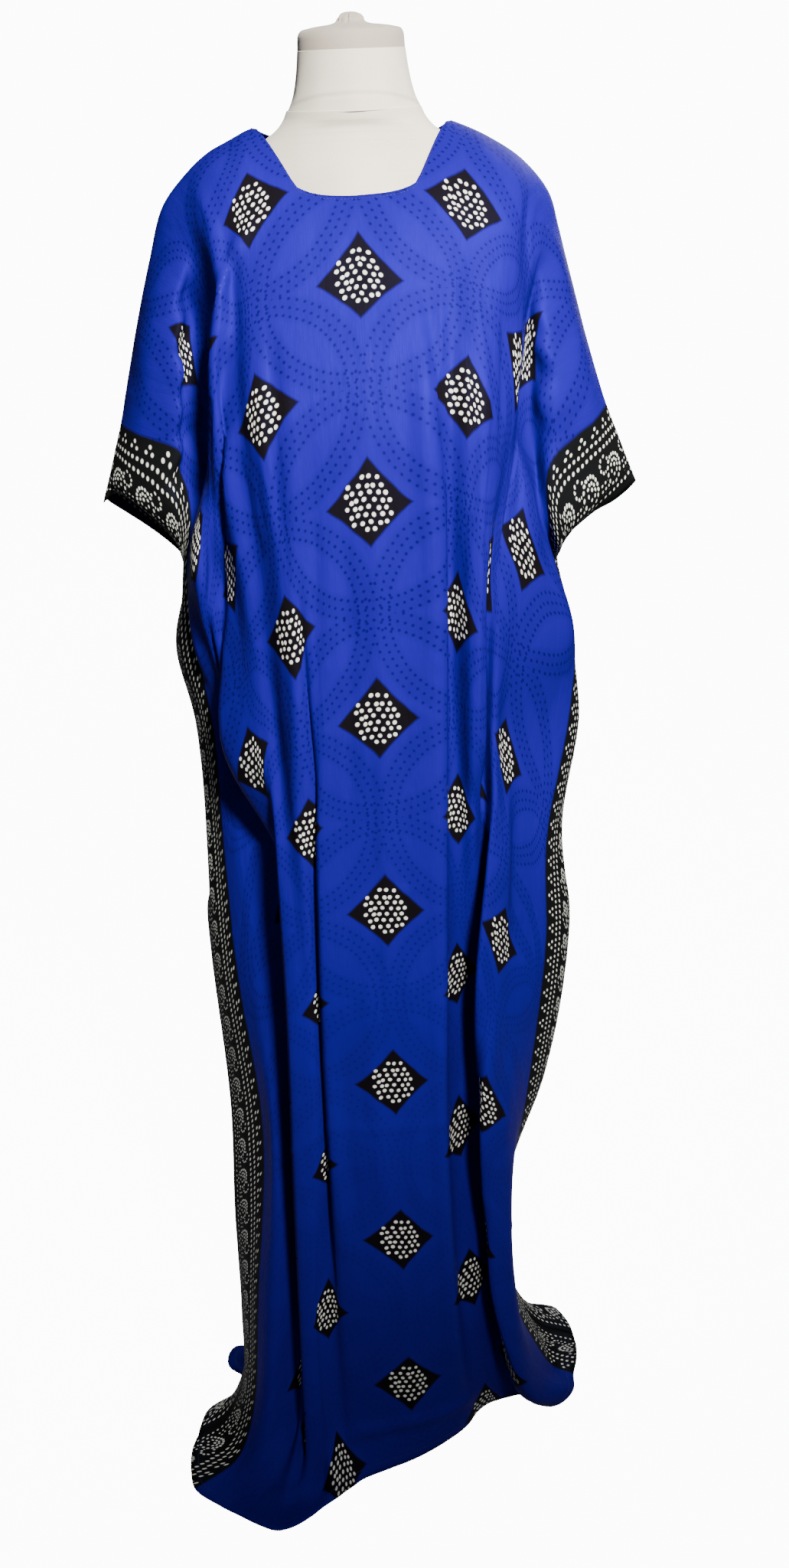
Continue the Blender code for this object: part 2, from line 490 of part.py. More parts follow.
def back_section(z, columns):
    """x and y of the back panel at each column, at one height below the underarm."""
    table = np.array(BACK_SECTIONS)[::-1]
    strength = np.interp(z, table[:, 0], table[:, 2])
    arc = back_arc(z)
    length = np.concatenate(([0.0], np.cumsum(np.linalg.norm(np.diff(arc, axis=0), axis=1))))
    fine = np.linspace(-HALF_WIDTH, HALF_WIDTH, 991)
    depth = np.zeros_like(fine)
    for middle, half, deep in BACK_FOLDS:
        drift = BACK_DRIFT * math.sin(9 * z + 40 * middle)
        depth += deep * strength * bump(fine, middle + drift, half)
    sideways = np.sqrt(np.maximum(1 - np.gradient(depth, fine) ** 2, 0.12))
    run = np.concatenate(([0.0], np.cumsum((sideways[1:] + sideways[:-1]) / 2)))
    at = np.interp(columns, fine, run / run[-1]) * length[-1]
    place = np.stack([np.interp(at, length, arc[:, k]) for k in (0, 1)], axis=1)
    middle = np.array(((arc[0, 0] + arc[-1, 0]) / 2, 0.0))
    inward = unit((middle - place) * (1.0, 1.6))
    place = place + inward * np.interp(columns, fine, depth)[:, None]
    return place[:, 0], place[:, 1]


def back_rows(columns, front):
    levels = (UNDERARM_Z, 0.95, 0.86, 0.73, 0.60, 0.50, 0.41, 0.34, 0.27, 0.20, 0.14, 0.045)
    sections = {z: back_section(z, columns) for z in levels}
    foot = np.stack(sections[0.045], axis=1)
    paths = []
    for j, s in enumerate(columns):
        start = shoulder_point(s)
        knots = back_upper(s, start, sections[UNDERARM_Z][0][j], sections[UNDERARM_Z][1][j])
        knots += [(z, sections[z][0][j], sections[z][1][j]) for z in levels]
        out = smoothstep(HALF_WIDTH, HALF_WIDTH - 0.15, abs(s))
        seam = np.array(LEFT_SEAM if s < 0 else RIGHT_SEAM)[-3:, 1:]
        for z, share, at in ((0.004, 0.5, seam[1]), (FLOOR_Z, 1.3, seam[2])):
            aside = BACK_ASIDE if s < 0 else 1.0
            plain = unit((foot[j] - (0.0, 0.02)) * (aside, 1.0)) * BACK_SPREAD * share
            x, y = foot[j] + out * plain + (1 - out) * (at - seam[0])
            knots.append((z, x, y))
        paths.append(path_rows(fold_path(s, knots, 1), neck_drop(s, BACK_NECK_DROP)))
    made = np.stack(paths, axis=1)
    sewn = slice(UPPER_ROWS, None)
    made[sewn, 0] = front[sewn, 0]
    made[sewn, -1] = front[sewn, -1]
    return made


def back_upper(s, start, x0, y0):
    """Knots of the back panel between the shoulder line and the underarm's height."""
    table = np.array(BACK_SECTIONS)[::-1]
    sleeve = smoothstep(0.15, 0.31, abs(s))
    knots = []
    for z in (1.437, 1.422, 1.400, 1.360, 1.300, 1.200, 1.120):
        if z < start[2] - 0.004 - 0.03 * sleeve:
            u = (start[2] - z) / (start[2] - UNDERARM_Z)
            reach = np.interp(z, table[:, 0], table[:, 1])
            x = start[0] + (x0 - start[0]) * (u**2 + (u - u**2) * sleeve)
            body = start[1] + (reach - start[1]) * (1 - (abs(x) / 0.32) ** 2)
            loose = start[1] + (y0 - start[1]) * u + 0.056 * math.sin(math.pi * min(u * 1.05, 1))
            knots.append((z, x, body + (loose - body) * sleeve))
    return knots


def sheet_columns():
    """The s of every column: each fold, with more between those that lie far apart."""
    folds = [fold[1] for fold in FRONT_FOLDS]
    columns = []
    for a, b in zip(folds, folds[1:]):
        steps = 1 + (b - a > 0.0345) + (b - a > 0.055)
        columns += [a + (b - a) * k / steps for k in range(steps)]
    columns += [folds[-1], -NECK_HALF, NECK_HALF, -NECK_FLAT, NECK_FLAT]
    columns = sorted(columns)
    kept = [columns[0]]
    for s in columns[1:]:
        if s - kept[-1] > 0.0035:
            kept.append(s)
        elif abs(abs(s) - NECK_HALF) < 1e-9 or abs(abs(s) - NECK_FLAT) < 1e-9:
            kept[-1] = s
    return np.array(kept)


def along(points, before, after):
    """Direction of the cloth at each row of points, which halves the angle at a fold."""
    steps = unit(np.diff(np.concatenate((before[None], points, after[None])), axis=0))
    return steps[:-1] + steps[1:]


def normals(points, other, side, sewn):
    """Outward normals of a panel. other is the panel that it is sewn to, sewn its shoulder seam."""
    above = np.where(sewn[:, None], other[1], 2 * points[0] - points[1])
    down = along(points, above, 2 * points[-1] - points[-2])
    left, right = 2 * points[:, 0] - points[:, 1], 2 * points[:, -1] - points[:, -2]
    seam = slice(UPPER_ROWS, None)
    left[seam], right[seam] = other[seam, 1], other[seam, -2]
    over = along(points.transpose(1, 0, 2), left, right).transpose(1, 0, 2)
    return unit(side * np.cross(over, down))


def pull_back(points):
    """Moves the sewn edges half a seam gap inward."""
    made = points.copy()
    for edge, inner in (((slice(None), 0), (slice(None), 1)), ((slice(None), -1), (slice(None), -2)), (0, 1)):
        made[edge] += unit(points[inner] - points[edge]) * SEAM_GAP / 2
    return made


def wall(name, points, out, finish):
    """A closed wall of cloth, half its thickness to each side of the grid of points."""
    rows, columns = points.shape[:2]
    mesh = bmesh.new()
    sides = [
        [[mesh.verts.new(points[i, j] + out[i, j] * k) for j in range(columns)] for i in range(rows)]
        for k in (WALL / 2, -WALL / 2)
    ]
    outer, inner = sides
    for i in range(rows - 1):
        for j in range(columns - 1):
            corners = ((i, j), (i + 1, j), (i + 1, j + 1), (i, j + 1))
            a, b, c, d = (points[corner] for corner in corners)
            if np.linalg.norm(c - a) > np.linalg.norm(d - b):
                corners = corners[1:] + corners[:1]
            for face in (corners[:3], (corners[0],) + corners[2:]):
                mesh.faces.new([outer[m][n] for m, n in face])
                mesh.faces.new([inner[m][n] for m, n in face[::-1]])
    ring = [(0, j) for j in range(columns)] + [(i, columns - 1) for i in range(1, rows)]
    ring += [(rows - 1, j) for j in range(columns - 2, -1, -1)] + [(i, 0) for i in range(rows - 2, 0, -1)]
    for (i, j), (m, n) in zip(ring, ring[1:] + ring[:1]):
        mesh.faces.new((outer[i][j], outer[m][n], inner[m][n], inner[i][j]))
    bmesh.ops.recalc_face_normals(mesh, faces=mesh.faces)
    return finished(name, mesh, finish)


def finished(name, mesh, finish):
    data = bpy.data.meshes.new(name)
    mesh.to_mesh(data)
    mesh.free()
    data.shade_smooth()
    data.set_sharp_from_angle(angle=math.radians(50))
    data.materials.append(finish)
    made = bpy.data.objects.new(name, data)
    bpy.context.scene.collection.objects.link(made)
    return made


def lofted(name, sections, sides, power, finish):
    """A closed smooth solid through sections (z, half width, half depth, y), tilted at the neck."""
    mesh = bmesh.new()
    rings = []
    for z, a, b, y in sections:
        ring = []
        tilt = NECK_TILT * smoothstep(TILT_FROM, TILT_FULL, z)
        for k in range(sides):
            angle = 2 * math.pi * k / sides
            c, s = math.cos(angle), math.sin(angle)
            across = a * math.copysign(abs(c) ** (2 / power), c)
            through = b * math.copysign(abs(s) ** (2 / power), s)
            ring.append(mesh.verts.new((across, y + through, z + tilt * through)))
        rings.append(ring)
    for low, high in zip(rings, rings[1:]):
        for k in range(sides):
            n = (k + 1) % sides
            mesh.faces.new((low[k], low[n], high[n], high[k]))
    mesh.faces.new(rings[0][::-1])
    mesh.faces.new(rings[-1])
    bmesh.ops.recalc_face_normals(mesh, faces=mesh.faces)
    return finished(name, mesh, finish)


def build_dress():
    cloth = material("printed satin", (0.016, 0.030, 0.46), 0.36)
    columns = sheet_columns()
    sewn = np.abs(columns) >= NECK_HALF - 1e-9
    front = front_rows(columns)
    back = back_rows(columns, front)
    for name, points, other, side in (("dress_front", front, back, -1), ("dress_back", back, front, 1)):
        wall(name, pull_back(points), normals(points, other, side, sewn), cloth)


def build_form():
    cover = material("cream cover", (0.80, 0.77, 0.70), 0.85)
    shade = material("neck cap", (0.62, 0.58, 0.52), 0.80)
    metal = material("stand metal", (0.42, 0.42, 0.43), 0.35, 1.0)
    lofted("form_torso", TORSO_SECTIONS, FORM_SIDES, 2.25, cover)
    lofted("form_neck", NECK_SECTIONS, FORM_SIDES, 2.0, cover)
    lofted("form_neck_cap", CAP_SECTIONS, FORM_SIDES, 2.0, shade)
    pole_top = TORSO_SECTIONS[0][0] - SEAM_GAP
    pole = [(z, POLE_RADIUS, POLE_RADIUS, FORM_BACK) for z in (BASE_HEIGHT + SEAM_GAP, pole_top)]
    lofted("form_pole", pole, POLE_SIDES, 2.0, metal)
    base = [(0.0, BASE_RADIUS, BASE_RADIUS, FORM_BACK)]
    for step in range(4):
        a = step * math.pi / 6
        r = BASE_RADIUS - BASE_EDGE * (1 - math.cos(a))
        base.append((BASE_HEIGHT - BASE_EDGE * (1 - math.sin(a)), r, r, FORM_BACK))
    lofted("form_base", base, FORM_SIDES, 2.0, metal)


clear_scene()
build_dress()
build_form()
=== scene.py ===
"""Looks of a baati dress on its dress form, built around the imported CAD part.

Metres, +Z up, the front faces -Y. A place on the cloth is (s, t): s runs across from the centre
line to the selvedges, t runs down from the shoulder line. The print follows (s, t), as it does on
the real cloth, so it bends, hides and shortens with every fold.
"""

import math

import bpy
import numpy as np
from mathutils import Matrix, Vector, noise


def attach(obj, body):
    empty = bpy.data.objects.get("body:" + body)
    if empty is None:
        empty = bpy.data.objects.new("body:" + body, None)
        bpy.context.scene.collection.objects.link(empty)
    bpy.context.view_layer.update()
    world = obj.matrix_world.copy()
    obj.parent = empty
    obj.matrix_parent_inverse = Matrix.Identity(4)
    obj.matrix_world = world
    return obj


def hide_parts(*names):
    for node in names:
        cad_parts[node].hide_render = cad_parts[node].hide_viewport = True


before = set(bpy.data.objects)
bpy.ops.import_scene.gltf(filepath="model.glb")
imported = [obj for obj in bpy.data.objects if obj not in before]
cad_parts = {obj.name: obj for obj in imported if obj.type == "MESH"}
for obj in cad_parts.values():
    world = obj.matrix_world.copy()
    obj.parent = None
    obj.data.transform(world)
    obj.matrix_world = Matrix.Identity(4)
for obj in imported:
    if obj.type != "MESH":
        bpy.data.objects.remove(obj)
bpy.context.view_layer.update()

CAMERA_PLACE = (0.013, -1.23, 1.15)
CAMERA_DOWN = 16.5  # degrees below level
CAMERA_TURN = -2.3  # degrees round its own axis
CAMERA_SENSOR = 36  # its height in millimetres
PHOTO_HEIGHT = 2048  # pixels
FOCAL_LENGTH = 1500  # in the photo's pixels
CAMERA_LENS = CAMERA_SENSOR * FOCAL_LENGTH / PHOTO_HEIGHT

HALF_WIDTH = 0.495  # centre line to selvedge, so each panel is cut 0.99 m wide
CLOTH = 0.0008  # thickness of the cloth
NECK_HALF = 0.096  # centre line to the neck corner, along the shoulder line
NECK_FLAT = 0.055  # half of the flat bottom of the neckline
NECK_CORNER = 0.90  # share of the neckline's drop that the ends of its flat bottom have
FRONT_NECK_DROP = 0.110
BACK_NECK_DROP = 0.062
UNDERARM_Z = 1.03  # where the cuff opening ends and the side seam starts
FLOOR_Z = 0.0009  # middle of the cloth where it lies on the floor
CUT_LENGTH = 1.50  # longest part of a panel, shoulder line to hem

UPPER_ROWS = 76  # shoulder line to underarm
LOWER_ROWS = 164  # underarm to hem
COLUMNS = 169
KNOT_STEPS = 24  # steps of a smooth line between two of its knots
FOLD_STEPS = 12  # steps that measure the cloth between two folds

# Shoulder line of the right side: s, x, y, z. It falls off the shoulder into the top of the sleeve.
SHOULDER_LINE = (
    (0.000, 0.000, 0.000, 1.446),
    (0.090, 0.088, 0.004, 1.446),
    (0.140, 0.136, 0.008, 1.426),
    (0.175, 0.168, 0.010, 1.404),
    (0.205, 0.187, 0.011, 1.378),
    (0.255, 0.200, 0.012, 1.331),
    (0.350, 0.225, 0.012, 1.240),
    (0.410, 0.243, 0.010, 1.184),
    (0.495, 0.274, 0.006, 1.106),
)
LEFT_SLEEVE_OUT = 0.010  # the left sleeve hangs this much further out at its middle
LEFT_SLEEVE_PAST = 0.06  # which would fade out this far past the selvedge
LEFT_NECK_OUT = 0.006  # the neck corner lies this much further out on the left
SHOULDER_TURN = (0.013, 0.003)  # first knot of a fold: how far out from the shoulder line, and down

# Side seams below the underarm, from there to the hem: z, x, y.
RIGHT_SEAM = (
    (1.03, 0.179, 0.040),
    (0.95, 0.196, 0.046),
    (0.86, 0.220, 0.040),
    (0.73, 0.204, 0.036),
    (0.668, 0.197, 0.034),
    (0.642, 0.211, 0.032),
    (0.58, 0.212, 0.030),
    (0.41, 0.182, 0.030),
    (0.27, 0.130, 0.040),
    (0.14, 0.128, 0.050),
    (0.045, 0.150, 0.050),
    (0.004, 0.180, 0.045),
    (FLOOR_Z, 0.222, 0.030),
)
LEFT_SEAM = (
    (1.03, -0.196, 0.026),
    (0.96, -0.218, 0.020),
    (0.86, -0.204, 0.014),
    (0.680, -0.198, -0.002),
    (0.656, -0.206, -0.005),
    (0.60, -0.206, -0.012),
    (0.41, -0.196, -0.030),
    (0.27, -0.200, -0.044),
    (0.14, -0.200, -0.060),
    (0.045, -0.205, -0.075),
    (0.004, -0.228, -0.090),
    (FLOOR_Z, -0.258, -0.110),
)

# Folds of the front panel: name, s, then the knots (z, x, y) from top to hem.
FRONT_FOLDS = (
    ("left seam", -0.495, (
        (1.112, -0.264, -0.004), (1.106, -0.246, -0.016), (1.088, -0.222, -0.026),
        (1.066, -0.205, -0.022), (1.045, -0.200, 0.004)) + LEFT_SEAM),
    ("left cuff edge", -0.470, (
        (1.116, -0.254, -0.026), (1.094, -0.224, -0.042), (1.068, -0.198, -0.044),
        (1.045, -0.196, -0.026), (1.02, -0.200, 0.004), (0.95, -0.216, 0.004), (0.86, -0.201, 0.002),
        (0.60, -0.201, -0.022), (0.41, -0.189, -0.040), (0.20, -0.194, -0.068), (0.045, -0.203, -0.088),
        (0.004, -0.226, -0.106), (FLOOR_Z, -0.262, -0.130))),
    ("left border middle", -0.440, (
        (1.140, -0.240, -0.034), (1.120, -0.213, -0.050), (1.100, -0.193, -0.056),
        (1.06, -0.192, -0.034), (1.02, -0.199, -0.016), (0.95, -0.204, -0.022), (0.86, -0.191, -0.014),
        (0.60, -0.187, -0.044), (0.41, -0.172, -0.062), (0.20, -0.181, -0.088), (0.045, -0.196, -0.112),
        (0.004, -0.217, -0.132), (FLOOR_Z, -0.259, -0.160))),
    ("left border edge", -0.410, (
        (1.169, -0.226, -0.040), (1.152, -0.184, -0.054), (1.136, -0.188, -0.044),
        (1.115, -0.183, -0.041), (1.085, -0.181, -0.040), (1.03, -0.191, -0.032),
        (0.95, -0.185, -0.040), (0.86, -0.178, -0.028), (0.73, -0.174, -0.048), (0.60, -0.170, -0.062),
        (0.41, -0.152, -0.086), (0.20, -0.170, -0.108), (0.045, -0.186, -0.132),
        (0.004, -0.206, -0.152), (FLOOR_Z, -0.250, -0.186))),
    ("left sleeve lower", -0.375, (
        (1.203, -0.216, -0.044), (1.188, -0.179, -0.058), (1.172, -0.184, -0.042),
        (1.150, -0.176, -0.042), (1.12, -0.165, -0.044), (1.07, -0.172, -0.056), (1.03, -0.187, -0.054),
        (0.95, -0.188, -0.048), (0.86, -0.156, -0.038), (0.73, -0.158, -0.062), (0.60, -0.144, -0.080),
        (0.41, -0.136, -0.108), (0.20, -0.150, -0.126), (0.045, -0.170, -0.152),
        (0.004, -0.190, -0.174), (FLOOR_Z, -0.220, -0.208))),
    ("left side ridge", -0.340, (
        (1.236, -0.209, -0.044), (1.222, -0.175, -0.058), (1.208, -0.180, -0.044),
        (1.185, -0.172, -0.041), (1.15, -0.159, -0.036), (1.11, -0.166, -0.052), (1.06, -0.180, -0.072),
        (1.03, -0.182, -0.076), (0.95, -0.174, -0.060), (0.86, -0.134, -0.048), (0.73, -0.136, -0.072),
        (0.60, -0.108, -0.084), (0.41, -0.108, -0.090), (0.20, -0.123, -0.112), (0.045, -0.150, -0.148),
        (0.004, -0.172, -0.186), (FLOOR_Z, -0.192, -0.224))),
    ("left sleeve middle", -0.300, (
        (1.274, -0.202, -0.040), (1.262, -0.173, -0.056), (1.250, -0.178, -0.036),
        (1.228, -0.169, -0.038), (1.19, -0.155, -0.040), (1.14, -0.157, -0.060), (1.07, -0.170, -0.090),
        (1.03, -0.172, -0.092), (0.99, -0.168, -0.079), (0.95, -0.160, -0.066), (0.86, -0.138, -0.062),
        (0.73, -0.102, -0.090), (0.60, -0.082, -0.092), (0.41, -0.084, -0.097), (0.20, -0.098, -0.107),
        (0.045, -0.130, -0.144), (0.004, -0.158, -0.194), (FLOOR_Z, -0.172, -0.235))),
    ("left panel edge", -0.250, (
        (1.322, -0.186, -0.034), (1.308, -0.168, -0.048), (1.294, -0.170, -0.036),
        (1.270, -0.163, -0.030), (1.230, -0.144, -0.042), (1.16, -0.152, -0.064),
        (1.09, -0.159, -0.090), (1.03, -0.157, -0.080), (0.99, -0.157, -0.084), (0.95, -0.161, -0.080),
        (0.86, -0.165, -0.086), (0.73, -0.105, -0.104), (0.60, -0.104, -0.110), (0.41, -0.112, -0.115),
        (0.20, -0.120, -0.121), (0.045, -0.130, -0.157), (0.004, -0.145, -0.205),
        (FLOOR_Z, -0.151, -0.243))),
    ("left second column", -0.202, (
        (1.352, -0.166, -0.038), (1.290, -0.141, -0.060), (1.221, -0.138, -0.078),
        (1.14, -0.148, -0.094), (1.03, -0.140, -0.092), (0.95, -0.132, -0.106), (0.86, -0.128, -0.114),
        (0.73, -0.089, -0.122), (0.60, -0.083, -0.126), (0.41, -0.087, -0.131), (0.20, -0.096, -0.134),
        (0.045, -0.118, -0.160), (0.004, -0.132, -0.200), (FLOOR_Z, -0.134, -0.240))),
    ("left ridge below neck", -0.165, (
        (1.370, -0.146, -0.054), (1.290, -0.129, -0.094), (1.221, -0.138, -0.108),
        (1.14, -0.138, -0.112), (1.03, -0.125, -0.116), (0.86, -0.112, -0.122), (0.73, -0.110, -0.137),
        (0.60, -0.110, -0.142), (0.41, -0.115, -0.147), (0.20, -0.119, -0.151), (0.045, -0.118, -0.176),
        (0.004, -0.114, -0.200), (FLOOR_Z, -0.114, -0.228))),
    ("left valley", -0.140, (
        (1.380, -0.128, -0.058), (1.290, -0.117, -0.088), (1.18, -0.119, -0.110),
        (1.03, -0.108, -0.120), (0.86, -0.100, -0.122), (0.73, -0.096, -0.141), (0.60, -0.093, -0.147),
        (0.41, -0.092, -0.150), (0.20, -0.103, -0.153), (0.045, -0.102, -0.173),
        (0.004, -0.102, -0.190), (FLOOR_Z, -0.100, -0.216))),
    ("left strip", -0.120, (
        (1.384, -0.114, -0.060), (1.290, -0.108, -0.096), (1.18, -0.107, -0.124),
        (1.03, -0.094, -0.132), (0.86, -0.088, -0.140), (0.73, -0.082, -0.144), (0.60, -0.080, -0.142),
        (0.41, -0.081, -0.144), (0.20, -0.098, -0.150), (0.045, -0.094, -0.168),
        (FLOOR_Z, -0.086, -0.206))),
    ("left first column", -0.101, (
        (1.385, -0.100, -0.062), (1.290, -0.100, -0.099), (1.18, -0.098, -0.130),
        (1.03, -0.084, -0.140), (0.86, -0.074, -0.146), (0.73, -0.071, -0.139), (0.60, -0.066, -0.132),
        (0.41, -0.068, -0.133), (0.20, -0.087, -0.146), (0.045, -0.084, -0.164),
        (FLOOR_Z, -0.074, -0.196))),
    ("left tuck", -0.085, (
        (1.378, -0.085, -0.066), (1.290, -0.085, -0.101), (1.18, -0.083, -0.133),
        (1.03, -0.073, -0.140), (0.86, -0.064, -0.138), (0.73, -0.063, -0.142), (0.60, -0.066, -0.142),
        (0.41, -0.068, -0.142), (0.20, -0.078, -0.146), (0.045, -0.076, -0.160),
        (FLOOR_Z, -0.066, -0.190))),
    ("left of centre", -0.070, (
        (1.373, -0.071, -0.070), (1.290, -0.070, -0.102), (1.18, -0.068, -0.135),
        (1.03, -0.064, -0.143), (0.86, -0.064, -0.148), (0.73, -0.070, -0.149), (0.60, -0.073, -0.150),
        (0.41, -0.074, -0.150), (0.20, -0.072, -0.151), (0.045, -0.066, -0.160),
        (FLOOR_Z, -0.056, -0.182))),
    ("near left of centre", -0.036, (
        (1.370, -0.037, -0.072), (1.290, -0.036, -0.103), (1.18, -0.036, -0.137),
        (1.03, -0.036, -0.145), (0.60, -0.037, -0.151), (0.20, -0.037, -0.153), (0.045, -0.032, -0.156),
        (FLOOR_Z, -0.028, -0.170))),
    ("centre", 0.0, (
        (1.370, 0.0, -0.072), (1.290, 0.0, -0.104), (1.18, 0.0, -0.138), (1.03, 0.0, -0.146),
        (0.60, 0.0, -0.150), (0.20, 0.002, -0.152), (0.045, 0.004, -0.150), (FLOOR_Z, 0.006, -0.156))),
    ("near right of centre", 0.036, (
        (1.370, 0.037, -0.072), (1.290, 0.036, -0.103), (1.18, 0.036, -0.137), (1.03, 0.036, -0.145),
        (0.60, 0.034, -0.150), (0.41, 0.032, -0.150), (0.20, 0.034, -0.148), (0.045, 0.038, -0.138),
        (FLOOR_Z, 0.040, -0.136))),
    ("right valley rim", 0.064, (
        (1.373, 0.065, -0.070), (1.290, 0.064, -0.101), (1.18, 0.067, -0.137), (1.03, 0.068, -0.143),
        (0.86, 0.063, -0.146), (0.60, 0.057, -0.148), (0.41, 0.053, -0.148), (0.20, 0.059, -0.142),
        (0.045, 0.068, -0.120), (FLOOR_Z, 0.070, -0.112))),
    ("right valley wall", 0.084, (
        (1.383, 0.084, -0.064), (1.290, 0.082, -0.098), (1.18, 0.077, -0.124), (1.03, 0.073, -0.120),
        (0.86, 0.069, -0.118), (0.60, 0.062, -0.114), (0.41, 0.060, -0.112), (0.20, 0.066, -0.110),
        (0.045, 0.080, -0.104), (FLOOR_Z, 0.084, -0.092))),
    ("right first column", 0.101, (
        (1.385, 0.100, -0.062), (1.290, 0.098, -0.098), (1.18, 0.094, -0.130), (1.03, 0.081, -0.126),
        (0.86, 0.077, -0.117), (0.80, 0.078, -0.110), (0.60, 0.073, -0.092), (0.41, 0.071, -0.088),
        (0.20, 0.081, -0.097), (0.045, 0.094, -0.092), (FLOOR_Z, 0.098, -0.080))),
    ("right strip", 0.132, (
        (1.380, 0.128, -0.060), (1.290, 0.123, -0.094), (1.221, 0.117, -0.114), (1.18, 0.114, -0.124),
        (1.03, 0.096, -0.139), (0.86, 0.092, -0.135), (0.80, 0.090, -0.117), (0.73, 0.092, -0.104),
        (0.60, 0.091, -0.074), (0.41, 0.090, -0.070), (0.20, 0.099, -0.081), (0.045, 0.108, -0.086),
        (FLOOR_Z, 0.113, -0.074))),
    ("right strip edge", 0.165, (
        (1.370, 0.150, -0.056), (1.290, 0.139, -0.086), (1.221, 0.132, -0.098), (1.18, 0.128, -0.106),
        (1.03, 0.109, -0.132), (0.86, 0.106, -0.122), (0.80, 0.100, -0.107), (0.73, 0.104, -0.086),
        (0.60, 0.114, -0.068), (0.41, 0.112, -0.062), (0.20, 0.113, -0.066), (0.045, 0.117, -0.081),
        (FLOOR_Z, 0.128, -0.070))),
    ("right second column", 0.202, (
        (1.350, 0.160, -0.050), (1.290, 0.152, -0.068), (1.221, 0.147, -0.082), (1.12, 0.131, -0.094),
        (1.03, 0.109, -0.108), (0.95, 0.092, -0.106), (0.86, 0.086, -0.104), (0.80, 0.090, -0.098),
        (0.73, 0.118, -0.080), (0.60, 0.126, -0.066), (0.41, 0.123, -0.061), (0.20, 0.121, -0.064),
        (0.045, 0.130, -0.078), (FLOOR_Z, 0.140, -0.068))),
    ("right inner fold", 0.235, (
        (1.326, 0.172, -0.050), (1.280, 0.158, -0.058), (1.221, 0.150, -0.066), (1.12, 0.136, -0.088),
        (1.03, 0.120, -0.098), (0.95, 0.110, -0.094), (0.86, 0.104, -0.088), (0.80, 0.106, -0.088),
        (0.73, 0.112, -0.098), (0.60, 0.104, -0.090), (0.41, 0.108, -0.086), (0.20, 0.127, -0.078),
        (0.045, 0.140, -0.086), (FLOOR_Z, 0.148, -0.076))),
    ("right panel edge", 0.262, (
        (1.316, 0.190, -0.032), (1.302, 0.170, -0.046), (1.289, 0.166, -0.044), (1.262, 0.158, -0.044),
        (1.222, 0.152, -0.054), (1.13, 0.141, -0.078), (1.06, 0.124, -0.092), (1.03, 0.124, -0.096),
        (0.86, 0.115, -0.106), (0.80, 0.114, -0.112), (0.73, 0.104, -0.122), (0.60, 0.090, -0.128),
        (0.50, 0.090, -0.112), (0.41, 0.100, -0.104), (0.20, 0.108, -0.084), (0.045, 0.130, -0.098),
        (FLOOR_Z, 0.158, -0.084))),
    ("right third column", 0.303, (
        (1.276, 0.197, -0.036), (1.264, 0.170, -0.054), (1.251, 0.163, -0.046), (1.225, 0.156, -0.044),
        (1.17, 0.146, -0.058), (1.11, 0.149, -0.084), (1.06, 0.146, -0.093), (1.03, 0.148, -0.086),
        (0.95, 0.140, -0.080), (0.86, 0.129, -0.076), (0.80, 0.129, -0.084), (0.73, 0.129, -0.104),
        (0.60, 0.116, -0.108), (0.50, 0.101, -0.127), (0.41, 0.092, -0.128), (0.20, 0.106, -0.102),
        (0.045, 0.136, -0.112), (FLOOR_Z, 0.178, -0.088))),
    ("right panel middle", 0.335, (
        (1.244, 0.205, -0.040), (1.231, 0.172, -0.060), (1.218, 0.167, -0.048), (1.190, 0.161, -0.044),
        (1.15, 0.154, -0.050), (1.10, 0.160, -0.072), (1.06, 0.163, -0.080), (1.03, 0.166, -0.072),
        (0.95, 0.170, -0.062), (0.86, 0.150, -0.056), (0.73, 0.136, -0.074), (0.60, 0.134, -0.084),
        (0.50, 0.126, -0.098), (0.41, 0.116, -0.112), (0.20, 0.102, -0.121), (0.045, 0.150, -0.116),
        (FLOOR_Z, 0.194, -0.080))),
    ("right sleeve lower", 0.370, (
        (1.211, 0.213, -0.044), (1.196, 0.183, -0.062), (1.183, 0.170, -0.062), (1.166, 0.168, -0.052),
        (1.13, 0.166, -0.044), (1.08, 0.167, -0.056), (1.03, 0.183, -0.044), (0.95, 0.203, -0.034),
        (0.86, 0.178, -0.034), (0.73, 0.158, -0.054), (0.60, 0.156, -0.062), (0.41, 0.134, -0.086),
        (0.20, 0.130, -0.104), (0.045, 0.163, -0.090), (FLOOR_Z, 0.208, -0.062))),
    ("right border edge", 0.410, (
        (1.165, 0.226, -0.038), (1.151, 0.206, -0.052), (1.135, 0.185, -0.062), (1.119, 0.176, -0.064),
        (1.07, 0.178, -0.054), (1.03, 0.188, -0.020), (0.95, 0.212, -0.004), (0.86, 0.206, -0.010),
        (0.73, 0.176, -0.044), (0.60, 0.174, -0.048), (0.41, 0.151, -0.052), (0.27, 0.126, -0.058),
        (0.14, 0.134, -0.060), (0.045, 0.170, -0.048), (0.004, 0.190, -0.030),
        (FLOOR_Z, 0.212, -0.038))),
    ("right border middle", 0.440, (
        (1.140, 0.236, -0.032), (1.122, 0.212, -0.048), (1.104, 0.190, -0.060), (1.087, 0.184, -0.062),
        (1.05, 0.188, -0.048), (1.02, 0.195, 0.003), (0.95, 0.211, 0.020), (0.86, 0.219, 0.010),
        (0.73, 0.192, -0.016), (0.60, 0.194, -0.022), (0.41, 0.168, -0.026), (0.27, 0.127, -0.024),
        (0.14, 0.132, -0.022), (0.045, 0.166, -0.010), (0.004, 0.190, -0.004),
        (FLOOR_Z, 0.220, -0.012))),
    ("right cuff edge", 0.470, (
        (1.112, 0.252, -0.022), (1.090, 0.230, -0.038), (1.066, 0.205, -0.048), (1.048, 0.197, -0.034),
        (1.034, 0.196, -0.004), (1.014, 0.190, 0.020), (0.95, 0.203, 0.034), (0.86, 0.223, 0.026),
